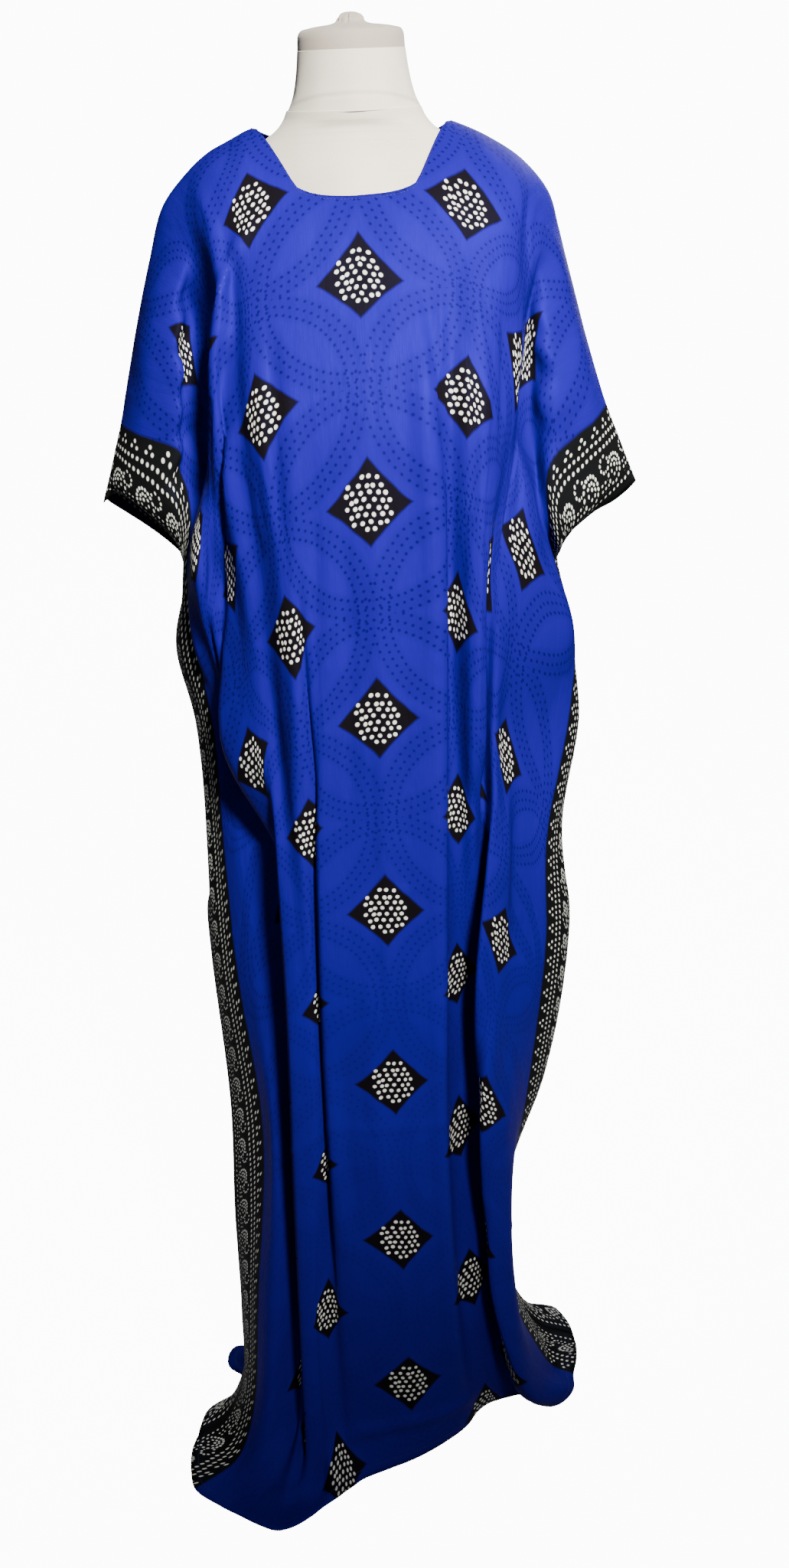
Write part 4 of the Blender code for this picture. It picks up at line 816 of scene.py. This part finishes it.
def ripple(points, s, t, side):
    """How far small folds, creases and crumples lift the cloth, in metres."""
    lift = np.zeros(t.shape)
    for i, row in enumerate(t):
        for j, down in enumerate(row):
            for across, along_t, start, apart, high in SMALL_FOLDS:
                place = Vector((s[j] * across, down * along_t, start + side * apart))
                lift[i, j] += high * noise.noise(place)
    for place, half, high in PRESSED_LINES:
        lift += high * bump(t, place, half)
    centre, half, high = PRESSED_CENTRE
    lift += high * bump(s, centre, half)[None, :] * smoothstep(*CENTRE_FROM, t)
    calm = smoothstep(HALF_WIDTH, HALF_WIDTH - CALM_SIDES, np.abs(s)) * smoothstep(0.0, CALM_TOP, t)
    above_floor = smoothstep(*FLAT_FROM, points[:, :, 2])
    folds = crease_lift(s, t, FRONT_CREASES if side < 0 else BACK_CREASES)
    return calm * (lift * above_floor + np.maximum(folds, 0) + np.minimum(folds, 0) * above_floor)


# Meshes


def link_object(name, mesh):
    made = bpy.data.objects.new(name, mesh)
    bpy.context.scene.collection.objects.link(made)
    return made


def new_object(name, places, faces, materials):
    mesh = bpy.data.meshes.new(name)
    mesh.from_pydata([tuple(p) for p in places], [], faces)
    mesh.validate()
    mesh.shade_smooth()
    for finish in materials:
        mesh.materials.append(finish)
    return link_object(name, mesh)


def add_map(mesh, name, places):
    """A UV map from a place for each corner of each face."""
    mesh.uv_layers.new(name=name).data.foreach_set("uv", places.astype(np.float32).ravel())


def cloth_shell(name, points, out, s, t, print_t, finishes):
    """A thin closed shell of cloth, with its print's map and its map for baking."""
    rows, columns = points.shape[:2]
    count = rows * columns
    places = np.concatenate((points + out * CLOTH / 2, points - out * CLOTH / 2)).reshape(-1, 3)
    index = np.arange(count).reshape(rows, columns)
    corners = (index[:-1, :-1], index[1:, :-1], index[1:, 1:], index[:-1, 1:])
    outer = np.stack(corners, axis=-1).reshape(-1, 4)
    facing = np.cross(points[1:, :-1] - points[:-1, :-1], points[:-1, 1:] - points[:-1, :-1])
    if np.sum(facing * out[:-1, :-1]) < 0:
        outer = outer[:, ::-1]
    inner = outer[:, ::-1] + count
    ring = np.concatenate((index[0, :-1], index[:-1, -1], index[-1, :0:-1], index[:0:-1, 0]))
    after = np.roll(ring, -1)
    rim = np.stack((ring, after, after + count, ring + count), axis=-1)
    if (ring[0], after[0]) in zip(outer[0], np.roll(outer[0], -1)):
        rim = rim[:, ::-1]
    faces = np.concatenate((outer, inner, rim))
    made = new_object(name, places, faces.tolist(), finishes)
    kinds = np.zeros(len(faces), np.int32)
    kinds[len(outer):] = 1
    made.data.polygons.foreach_set("material_index", kinds)

    across = np.tile(np.broadcast_to(s, t.shape).ravel(), 2)
    printed = np.stack((across, np.tile(print_t.ravel(), 2)), axis=-1)
    add_map(made.data, "print", printed[faces.reshape(-1)])
    bake = np.empty((2 * count, 2))
    bake[:, 0] = (across + HALF_WIDTH) / (2 * HALF_WIDTH)
    bake[:, 1] = BAKE_DOWN[0] - BAKE_DOWN[1] * np.tile(t.ravel(), 2) / CUT_LENGTH
    for half, (start, width) in ((slice(count), BAKE_OUTER), (slice(count, None), BAKE_INNER)):
        bake[half, 0] = start + width * bake[half, 0]
    baked = bake[faces.reshape(-1)]
    turn = np.arange(len(rim) + 1) / len(rim)
    strip = np.empty((len(rim), 4, 2))
    strip[:, :, 0] = np.where(rim < count, *BAKE_RIM)
    strip[:, :, 1] = np.where(rim % count == ring[:, None], turn[:-1, None], turn[1:, None])
    baked[-4 * len(rim):] = strip.reshape(-1, 2)
    add_map(made.data, "OFBake", baked)
    return made


def lofted(name, sections, sides, power, finish, lift=None):
    """A smooth solid through level sections (z, half width, half depth, y)."""
    table = smooth_line([(z, a, b) for z, a, b, _ in sections])
    depth = np.interp(table[:, 0], [row[0] for row in sections], [row[3] for row in sections])
    angle = np.linspace(0, 2 * math.pi, sides, endpoint=False)
    c, s = np.cos(angle), np.sin(angle)
    across = np.sign(c) * np.abs(c) ** (2 / power)
    through = np.sign(s) * np.abs(s) ** (2 / power)
    places = []
    for (z, a, b), y in zip(table, depth):
        ring = np.stack((a * across, y + b * through, np.full(sides, z)), axis=1)
        ring[:, 2] += NECK_TILT * smoothstep(TILT_FROM, TILT_FULL, z) * (ring[:, 1] - y)
        if lift is not None:
            outward = unit(np.stack((c / a, s / b, np.zeros(sides)), axis=1))
            ring = ring + outward * lift(angle, z)[:, None]
        places.append(ring)
    index = np.arange(len(places) * sides).reshape(-1, sides)
    over = np.roll(index, -1, axis=1)
    faces = np.stack((index[:-1], over[:-1], over[1:], index[1:]), axis=-1).reshape(-1, 4).tolist()
    faces += [index[0][::-1].tolist(), index[-1].tolist()]
    return new_object(name, np.concatenate(places), faces, (finish,))


# Materials


def plug(tree, places, values):
    """Feed each input of a node with a Field, an output of another node or a plain value."""
    for place, value in zip(places, values):
        value = getattr(value, "socket", value)
        if isinstance(value, bpy.types.NodeSocket):
            tree.links.new(value, place)
        else:
            place.default_value = value


def math_by(operation):
    """A method that joins a Field and other values with one Math node."""
    return lambda self, *others: self.math(operation, *others)


class Field:
    """A number that varies over a surface. Sums written with it become Math nodes."""

    def __init__(self, tree, socket):
        self.tree = tree
        self.socket = socket

    def math(self, operation, *others, clamp=False):
        node = self.tree.nodes.new("ShaderNodeMath")
        node.operation = operation
        node.use_clamp = clamp
        plug(self.tree, node.inputs, (self, *others))
        return Field(self.tree, node.outputs[0])

    def clamped(self):
        return self.math("ADD", 0.0, clamp=True)

    __add__ = math_by("ADD")
    __sub__ = math_by("SUBTRACT")
    __mul__ = math_by("MULTIPLY")
    __truediv__ = math_by("DIVIDE")
    __pow__ = math_by("POWER")
    __abs__ = math_by("ABSOLUTE")
    less = math_by("LESS_THAN")
    more = math_by("GREATER_THAN")
    most = math_by("MAXIMUM")
    least = math_by("MINIMUM")
    nearest = math_by("ROUND")
    part = math_by("FRACT")
    root = math_by("SQRT")
    sine = math_by("SINE")
    cosine = math_by("COSINE")
    angle = math_by("ARCTAN2")


def far(x, y):
    """Distance of (x, y) from the origin."""
    return (x * x + y * y).root()


def disc(distance, radius, soft=0.0004):
    """1 inside the radius and 0 outside, with a soft edge."""
    return distance.math("MULTIPLY_ADD", -0.5 / soft, (radius + soft) * 0.5 / soft, clamp=True)


def any_of(mark, *others):
    """1 wherever one of several marks of the print is."""
    for other in others:
        mark = mark.most(other)
    return mark


def off_nearest(value, pitch, start):
    """Signed distance from the nearest of evenly spaced lines."""
    return ((value - (start - pitch / 2)) / pitch).part() * pitch - pitch / 2


def pick(share, one, two):
    """one where the share is 1, two where it is 0."""
    return two + (one - two) * share


def joined(tree, x, y, z=0.0):
    node = tree.nodes.new("ShaderNodeCombineXYZ")
    plug(tree, node.inputs, (x, y, z))
    return node.outputs[0]


def split(tree, vector):
    """x, y and z of a vector, as Fields."""
    node = tree.nodes.new("ShaderNodeSeparateXYZ")
    tree.links.new(vector, node.inputs[0])
    return [Field(tree, place) for place in node.outputs]


def noise_field(tree, vector, scale, detail=2.0, rough=0.5):
    node = tree.nodes.new("ShaderNodeTexNoise")
    set_inputs(tree, node, {"Vector": vector, "Scale": scale, "Detail": detail, "Roughness": rough})
    return Field(tree, node.outputs["Fac"])


def mix_colour(tree, share, one, two):
    """Colour one where the share is 0, two where it is 1."""
    node = tree.nodes.new("ShaderNodeMix")
    node.data_type = "RGBA"
    colours = [(*value, 1.0) if isinstance(value, tuple) else value for value in (one, two)]
    plug(tree, (node.inputs[0], node.inputs[6], node.inputs[7]), (share, *colours))
    return node.outputs[2]


def new_finish(name):
    """A new material, its node tree and its surface."""
    made = bpy.data.materials.new(name)
    made.use_nodes = True
    return made, made.node_tree, made.node_tree.nodes["Principled BSDF"]


def set_inputs(tree, node, values):
    """Feed the inputs that are given by name."""
    plug(tree, [node.inputs[label] for label in values], values.values())


def add_relief(tree, surface, height, strength, distance):
    node = tree.nodes.new("ShaderNodeBump")
    set_inputs(tree, node, {"Height": height, "Strength": strength, "Distance": distance})
    tree.links.new(node.outputs[0], surface.inputs["Normal"])


def waves(value, pitch):
    return (value * (2 * math.pi / pitch)).sine()


def cluster(tree, x, y):
    """White dots in a rounded six-sided group, loosely in rows, as in every diamond."""
    row = y / DOT_ROW
    node = tree.nodes.new("ShaderNodeTexVoronoi")
    node.voronoi_dimensions = "2D"
    cell = joined(tree, x / DOT_ALONG - row * 0.5 + CELL_SHIFT[0], row + CELL_SHIFT[1])
    set_inputs(tree, node, {"Scale": 1.0, "Randomness": DOTS_LOOSE, "Vector": cell})
    across, down, _ = split(tree, node.outputs["Position"])
    row_at = down - CELL_SHIFT[1]
    y_at = row_at * DOT_ROW
    x_at = (across - CELL_SHIFT[0] + row_at * 0.5) * DOT_ALONG
    corner = (abs(x_at) * 0.55 + abs(y_at) * 0.90).less(CLUSTER_CORNER)
    return disc(far(x - x_at, y - y_at), DOT) * abs(x_at).less(CLUSTER_HALF) * corner


def spot_rings(x, y):
    """Three rings of dark spots round a diamond, and the mottled band that they lie in."""
    first, middle, _ = SPOT_RINGS
    away = far(x, y)
    ring = ((away - first) / (middle - first)).nearest().most(0.0).least(2.0)
    radius = ring * (middle - first) + first
    turn = y.angle(x) / (2 * math.pi) * SPOTS_ROUND + ring * 0.5 + 100.0
    off = (turn.part() - 0.5) * radius * (2 * math.pi / SPOTS_ROUND)
    return disc(far(away - radius, off), *SPOT), disc(abs(away - middle), *SPOT_BAND)


def loop_of_dots(x, y, radius, lean, count, size):
    """Dots along a closed drop-shaped loop, and the signed distance from the loop."""
    angle = y.angle(x)
    drop = (angle - lean).cosine() * 0.26 + (angle * 2.0 - 2 * lean).cosine() * 0.08 + 1.0
    edge = drop * radius
    off = ((angle * (count / (2 * math.pi)) + 50.0).part() - 0.5) * edge * (2 * math.pi / count)
    away = far(x, y) - edge
    return disc(far(away, off), size), away


def border_dots(out, t):
    """White dots of the border. out is the distance from its inner edge towards the selvedge."""
    rows = [disc(far(out - place, off_nearest(t, pitch, start)), size)
            for place, pitch, start, size in BORDER_ROWS]
    y = out - PAISLEY_MIDDLE
    (outer, beyond), (inner, _), (tail, _) = (
        loop_of_dots(off_nearest(t, PAISLEY_PITCH, start), y - aside, *loop)
        for start, aside, *loop in PAISLEY_LOOPS)
    heart = disc(far(off_nearest(t, PAISLEY_PITCH, 0.0), y), HEART_DOT)
    x_fill = off_nearest(t, PAISLEY_PITCH, PAISLEY_PITCH / 2)
    x_dot, y_dot = off_nearest(x_fill, FILL_PITCH, 0.0), off_nearest(y, FILL_PITCH, FILL_START)
    near = abs(x_fill).less(FILL_ALONG) * y.more(FILL_OUT[0]) * abs(y).less(FILL_OUT[1])
    fill = disc(far(x_dot, y_dot), FILL_DOT) * near
    clear = beyond.more(PAISLEY_CLEAR) * abs(y).less(PAISLEY_HALF)
    return any_of(*rows, outer, inner, heart, tail * clear, fill * clear)


def print_marks(tree, place, s, t):
    """The white dots, the diamonds, the border, the dark spots and the bands of spots."""
    s_print = s + (noise_field(tree, place, 55.0, 1.0) - 0.5) * PRINT_WANDER
    t_print = t + (noise_field(tree, joined(tree, t, s, 4.0), 48.0, 1.0) - 0.5) * PRINT_WANDER
    x_a, x_b = (off_nearest(s_print, DIAMOND_ACROSS, start) for start in (0.0, DIAMOND_ACROSS / 2))
    y_a, y_b = (off_nearest(t_print, DIAMOND_DOWN, start)
                for start in (FIRST_DIAMOND, FIRST_DIAMOND - DIAMOND_DOWN / 2))
    in_a = (abs(x_a) / DIAMOND_ACROSS + abs(y_a) / DIAMOND_DOWN).less(0.5)
    x, y = pick(in_a, x_a, x_b), pick(in_a, y_a, y_b)
    middle = t_print - y
    above_foot = (abs(s) * FIELD_FOOT[1] + middle).less(FIELD_FOOT[0])
    field = abs(s).less(FIELD_HALF) * middle.more(FIELD_TOP) * above_foot
    reach = abs(x) ** DIAMOND_ROUND + abs(y) ** DIAMOND_ROUND
    diamond = disc(reach, DIAMOND_REACH**DIAMOND_ROUND, 0.0022) * field
    out = abs(s_print) - BORDER_EDGE
    border = (out / BORDER_SOFT + 0.5).clamped()
    white = (cluster(tree, x, y) * field).most(border_dots(out, t_print) * border)
    (spots_a, band_a), (spots_b, band_b) = spot_rings(x_a, y_a), spot_rings(x_b, y_b)
    return white, diamond, border, spots_a.most(spots_b), band_a.most(band_b)


def printed_cloth(name, colours, dim):
    """Printed satin. dim is how much of the print has come through, 1 on the right side."""
    made, tree, surface = new_finish(name)
    printed_map = tree.nodes.new("ShaderNodeUVMap")
    printed_map.uv_map = "print"
    place = printed_map.outputs[0]
    s, t, _ = split(tree, place)
    white, diamond, border, spots, band = print_marks(tree, place, s, t)
    streaks = noise_field(tree, joined(tree, s * 900.0, t * 34.0), 1.0, 2.0)
    clouds = noise_field(tree, place, 9.0, 3.0)

    blue, deep, ground, edge_ground, chalk = colours
    faded = t.math("MULTIPLY_ADD", -1.6, 1.75, clamp=True) * 0.75 + 0.25
    colour = mix_colour(tree, band * (streaks * 0.25 + 0.08) * faded, blue, deep)
    spot = tuple(v * 0.30 for v in deep)
    colour = mix_colour(tree, spots * faded * (streaks * 0.4 + 0.40) * dim, colour, spot)
    colour = mix_colour(tree, diamond * dim, colour, ground)
    colour = mix_colour(tree, border * (0.5 + 0.5 * dim), colour, edge_ground)
    shaded = tree.nodes.new("ShaderNodeVectorMath")
    shaded.operation = "SCALE"
    tree.links.new(colour, shaded.inputs[0])
    tree.links.new((clouds * 0.22 + streaks * 0.16 + 0.81).socket, shaded.inputs["Scale"])

    printed = diamond.most(border)
    set_inputs(tree, surface, {
        "Base Color": mix_colour(tree, white * dim, shaded.outputs[0], chalk),
        "Roughness": clouds * 0.08 + streaks * 0.06 + printed * 0.08 + white * 0.14 + 0.40,
        "Metallic": (white.most(printed) * -1.0 + 1.0) * 0.06,
        "Specular IOR Level": 0.055,
        "Specular Tint": (0.22, 0.26, 1.0, 1.0),
    })
    weave = waves(s, WEAVE[0]) * waves(t, WEAVE[1])
    crease = noise_field(tree, joined(tree, s * 46.0, t * 15.0), 1.0, 3.0)
    height = weave * 0.05 + streaks * 0.25 + crease * 2.6 - white * 0.10
    add_relief(tree, surface, height, 0.45, 0.0012)
    return made


def object_place(tree):
    return tree.nodes.new("ShaderNodeTexCoord").outputs["Object"]


def cover_cloth(name, light, dark, seam=None):
    """Plain off-white jersey of the dress form, with painted shade on its left side and a little grey
    in patches.
    """
    made, tree, surface = new_finish(name)
    place = object_place(tree)
    x, _, z = split(tree, place)
    stains = noise_field(tree, place, 14.0, 4.0)
    fuzz = noise_field(tree, place, 420.0, 3.0, 0.7)
    # Painted shade: the cover darkens towards its left side, away from the key lamp.
    left = (x * -16.0 + 0.10).clamped()
    # Share of the darker colour: grey patches, fuzz and the painted shade on the left.
    share = stains * 0.55 + left * 0.45 + fuzz * 0.12 - 0.20
    if seam is not None:
        share = share + disc(abs(z - seam), 0.0016, 0.0014) * 0.35
    set_inputs(tree, surface, {
        "Base Color": mix_colour(tree, share.clamped(), light, dark),
        "Roughness": 0.85,
        "Sheen Weight": 0.25,
        "Sheen Roughness": 0.6,
    })
    knit = waves(x, KNIT[0]) * waves(z, KNIT[1])
    add_relief(tree, surface, knit * 0.25 + fuzz * 0.5 + stains * 1.5, 0.30, 0.0010)
    return made


def stand_metal(name):
    """Satin-painted steel with fine brushing and a few worn spots."""
    made, tree, surface = new_finish(name)
    place = object_place(tree)
    wear = noise_field(tree, place, 30.0, 5.0, 0.65)
    grain = noise_field(tree, place, 600.0, 2.0)
    worn = (wear * 3.0 - 1.55).clamped()
    set_inputs(tree, surface, {
        "Base Color": mix_colour(tree, worn, (0.36, 0.36, 0.37), (0.22, 0.22, 0.23)),
        "Metallic": 0.85,
        "Roughness": wear * 0.18 + grain * 0.10 + 0.24,
    })
    add_relief(tree, surface, grain, 0.12, 0.0004)
    return made


def thread(name, colour):
    """Sewing thread, with painted shade where its twist turns away."""
    made, tree, surface = new_finish(name)
    twist = noise_field(tree, object_place(tree), 1500.0, 2.0)
    # Painted shade: the darker colour where the twist turns away.
    dark = tuple(v * 0.6 for v in colour)
    set_inputs(tree, surface, {
        "Base Color": mix_colour(tree, twist, dark, colour),
        "Roughness": twist * 0.2 + 0.42,
    })
    return made


# Sewing


def stitch_tree():
    """Stitches laid end to end along a line, from a pitch, a length and a thread."""
    tree = bpy.data.node_groups.new("row of stitches", "GeometryNodeTree")
    for way in ("INPUT", "OUTPUT"):
        tree.interface.new_socket("Geometry", in_out=way, socket_type="NodeSocketGeometry")
    sockets = {}
    for label, kind in (("Pitch", "Float"), ("Stitch length", "Float"), ("Thread width", "Float"),
                        ("Unevenness", "Float"), ("Seed", "Int"), ("Thread", "Material")):
        made = tree.interface.new_socket(label, in_out="INPUT", socket_type="NodeSocket" + kind)
        sockets[label] = made.identifier
    new = tree.nodes.new
    given, result = new("NodeGroupInput"), new("NodeGroupOutput")
    to_curve, resample = new("GeometryNodeMeshToCurve"), new("GeometryNodeResampleCurve")
    ball, shape = new("GeometryNodeMeshUVSphere"), new("GeometryNodeTransform")
    size, wobble = new("ShaderNodeCombineXYZ"), new("FunctionNodeRandomValue")
    tangent, align = new("GeometryNodeInputTangent"), new("FunctionNodeAlignRotationToVector")
    turn, lay = new("FunctionNodeRotateRotation"), new("GeometryNodeInstanceOnPoints")
    real, paint = new("GeometryNodeRealizeInstances"), new("GeometryNodeSetMaterial")
    resample.mode = "LENGTH"
    align.axis = "X"
    turn.rotation_space = "LOCAL"
    wobble.data_type = "FLOAT_VECTOR"
    for label, value in (("Segments", 6), ("Rings", 4), ("Radius", 0.5)):
        ball.inputs[label].default_value = value
    for place, sign in enumerate((-1.0, 1.0)):
        limit = new("ShaderNodeVectorMath")
        limit.operation = "SCALE"
        limit.inputs[0].default_value = (sign, sign, sign)
        tree.links.new(given.outputs["Unevenness"], limit.inputs["Scale"])
        tree.links.new(limit.outputs[0], wobble.inputs[place])
    for source, out, node, into in (
        (given, "Geometry", to_curve, 0),
        (to_curve, 0, resample, "Curve"),
        (given, "Pitch", resample, "Length"),
        (given, "Stitch length", size, 0),
        (given, "Thread width", size, 1),
        (given, "Thread width", size, 2),
        (ball, "Mesh", shape, "Geometry"),
        (size, 0, shape, "Scale"),
        (tangent, 0, align, "Vector"),
        (given, "Seed", wobble, "Seed"),
        (align, 0, turn, 0),
        (wobble, 0, turn, 1),
        (resample, 0, lay, "Points"),
        (shape, 0, lay, "Instance"),
        (turn, 0, lay, "Rotation"),
        (lay, 0, real, 0),
        (real, 0, paint, "Geometry"),
        (given, "Thread", paint, "Material"),
        (paint, 0, result, 0),
    ):
        tree.links.new(source.outputs[out], node.inputs[into])
    return tree, sockets


def stitches(name, lines, tree, sockets, yarn):
    """Stitches along one or more lines of points."""
    places, edges = [], []
    for line in lines:
        first = len(places)
        places += [tuple(p) for p in line]
        edges += [(first + k, first + k + 1) for k in range(len(line) - 1)]
    mesh = bpy.data.meshes.new(name + " line")
    mesh.from_pydata(places, edges, [])
    path = link_object(name + " line", mesh)
    sewing = path.modifiers.new("stitches", "NODES")
    sewing.node_group = tree
    for label, value in (*STITCH.items(), ("Thread", yarn)):
        sewing[sockets[label]] = value
    bpy.context.view_layer.update()
    seen = path.evaluated_get(bpy.context.evaluated_depsgraph_get())
    finished = bpy.data.meshes.new_from_object(seen)
    bpy.data.objects.remove(path)
    return link_object(name, finished)


def on_cloth(points, out, row, column):
    """The point just above the cloth at a row and a column, which may be fractions."""
    i, j = min(int(row), len(points) - 2), min(int(column), points.shape[1] - 2)
    u, v = row - i, column - j

    def mixed(grid):
        over = grid[i : i + 2, j] * (1 - v) + grid[i : i + 2, j + 1] * v
        return over[0] * (1 - u) + over[1] * u

    return mixed(points) + unit(mixed(out)) * (CLOTH / 2 + THREAD_ABOVE)


def sewn_lines(points, out, t, columns):
    """The rows of stitches of a panel: along its neckline and above its hem."""
    last = len(columns) - 1
    low = int(np.searchsorted(columns, -NECK_HALF))
    neckline = [(NECK_STITCH_IN / (t[1, j] - t[0, j]), j) for j in range(low, last - low + 1)]
    foot = len(points) - 1
    hem = [(foot - HEM_STITCH_IN / (t[-1, j] - t[-2, j]), j) for j in range(2, last - 1)]
    return [[on_cloth(points, out, row, column) for row, column in line] for line in (neckline, hem)]


# The dress, its form and its stage


def make_dress():
    """Both panels, each with its points, its outward normals and t, and the columns' s."""
    finishes = (
        printed_cloth("printed satin", RIGHT_SIDE, 1.0),
        printed_cloth("reverse of the satin", WRONG_SIDE, 0.7),
    )
    columns = np.linspace(-HALF_WIDTH, HALF_WIDTH, COLUMNS)
    sewn = np.abs(columns) >= NECK_HALF - 1e-9
    front, front_t = front_panel(columns)
    back, back_t = back_panel(columns, front, front_t)
    panels = (("front_cloth", front, back, front_t, -1), ("back_cloth", back, front, back_t, 1))
    for _, points, other, t, side in panels:
        points += normals(points, other, side, sewn) * ripple(points, columns, t, side)[:, :, None]
    made = []
    for name, points, other, t, side in panels:
        out = normals(points, other, side, sewn)
        cloth = cloth_shell(name, points, out, columns, t, sagged(columns, t), finishes)
        made.append((cloth, points, out, t))
    return made, columns


def sew(panels, columns):
    """The stitches of each panel."""
    yarn = thread("navy thread", (0.010, 0.014, 0.16))
    tree, sockets = stitch_tree()
    return [stitches(cloth.name + "_stitches", sewn_lines(points, out, t, columns), tree, sockets, yarn)
            for cloth, points, out, t in panels]


def pulls(angle, rows):
    return PULL_HEIGHT * sum(share * np.sin(count * angle + turn) for count, turn, share in rows)


def neck_folds(angle, z):
    """Slight pulls in the cover just above the seam at the foot of the neck."""
    return pulls(angle, NECK_PULLS) * smoothstep(*NECK_PULLS_FADE, z)


def cap_folds(angle, z):
    """Gathers that run up to the knot on top of the neck."""
    count, lean, high = KNOT_TWIST
    twist = high * np.sin(count * angle + lean * (z - TWIST_RISE[0]))
    return pulls(angle, CAP_GATHERS) * smoothstep(*GATHERS_RISE, z) + twist * smoothstep(*TWIST_RISE, z)


def make_form():
    # The cover's darker colour stands for its grey patches and for the painted shade on its left side.
    cover = cover_cloth("off-white cover with painted shade", (0.84, 0.79, 0.68), (0.40, 0.355, 0.29), seam=NECK_SEAM_Z)
    # Painted shade: the cap is the same jersey as the cover, given darker colours for the shade in its
    # gathers.
    cap = cover_cloth("neck cap cloth with painted shade", (0.42, 0.375, 0.31), (0.22, 0.19, 0.155))
    torso = lofted("torso_cover", FORM_SECTIONS, 96, TORSO_POWER, cover)
    neck = lofted("neck_cover", NECK_SECTIONS, 120, 2.0, cover, neck_folds)
    top = lofted("neck_knot", CAP_SECTIONS, 144, 2.0, cap, cap_folds)
    return torso, neck, top


def make_backdrop():
    """White floor that curves up into a backdrop. It glows only where the camera sees it."""
    curve = [(-3.0, 0.0)]
    for turn in np.linspace(0, math.pi / 2, 13):
        curve.append((2.0 + BACKDROP_BEND * math.sin(turn), BACKDROP_BEND * (1 - math.cos(turn))))
    curve.append((2.0 + BACKDROP_BEND, 6.0))
    places = [(x, y, z) for y, z in curve for x in (-5.0, 5.0)]
    faces = [(2 * k, 2 * k + 1, 2 * k + 3, 2 * k + 2) for k in range(len(curve) - 1)]
    pale, tree, surface = new_finish("white backdrop")
    ray = tree.nodes.new("ShaderNodeLightPath")
    set_inputs(tree, surface, {
        "Base Color": (0.45, 0.45, 0.46, 1.0),
        "Roughness": 0.9,
        "Specular IOR Level": 0.0,
        "Emission Color": (1.0, 1.0, 1.0, 1.0),
        "Emission Strength": Field(tree, ray.outputs["Is Camera Ray"]) * 12.0,
    })
    backdrop = new_object("backdrop", places, faces, (pale,))


def make_world():
    world = bpy.data.worlds.new("pale studio")
    world.use_nodes = True
    air = world.node_tree.nodes["Background"]
    air.inputs["Color"].default_value = (0.95, 0.96, 1.0, 1.0)
    air.inputs["Strength"].default_value = 0.12
    bpy.context.scene.world = world


def make_lamp(name, kind, watts, place, aim, **settings):
    data = bpy.data.lights.new(name, kind)
    data.energy = watts
    for label, value in settings.items():
        setattr(data, label, value)
    lamp = link_object(name, data)
    lamp.location = place
    lamp.rotation_euler = (Vector(aim) - Vector(place)).to_track_quat("-Z", "Y").to_euler()


def make_camera():
    data = bpy.data.cameras.new("camera")
    data.sensor_fit = "VERTICAL"
    data.sensor_height = CAMERA_SENSOR
    data.lens = CAMERA_LENS
    data.clip_start = 0.01
    camera = link_object("camera", data)
    camera.matrix_world = (
        Matrix.Translation(CAMERA_PLACE)
        @ Matrix.Rotation(math.radians(90 - CAMERA_DOWN), 4, "X")
        @ Matrix.Rotation(math.radians(CAMERA_TURN), 4, "Z")
    )
    bpy.context.scene.camera = camera


make_camera()
make_backdrop()
make_world()
make_lamp("key", "SPOT", 560, (0.52, -1.50, 2.12), (-0.03, 0.0, 1.14), color=(1.0, 0.95, 0.88),
          shadow_soft_size=0.16, spot_size=math.radians(54), spot_blend=1.0)
make_lamp("fill", "AREA", 5, (1.9, -1.5, 1.7), (0.0, 0.0, 1.0), size=1.6)
make_lamp("behind", "AREA", 40, (0.6, 2.2, 2.4), (0.0, 0.0, 1.0), size=1.8)
panels, columns = make_dress()
front_cloth, back_cloth = (cloth for cloth, *_ in panels)
torso, neck, knot = make_form()
metal = stand_metal("stand paint")
for node in ("form_pole", "form_base"):
    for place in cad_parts[node].material_slots:
        place.material = metal
sewing = sew(panels, columns)

for piece in (front_cloth, back_cloth, torso, neck, knot, *sewing):
    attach(piece, "root")
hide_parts("dress_front")
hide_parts("dress_back")
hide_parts("form_torso")
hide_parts("form_neck")
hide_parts("form_neck_cap")
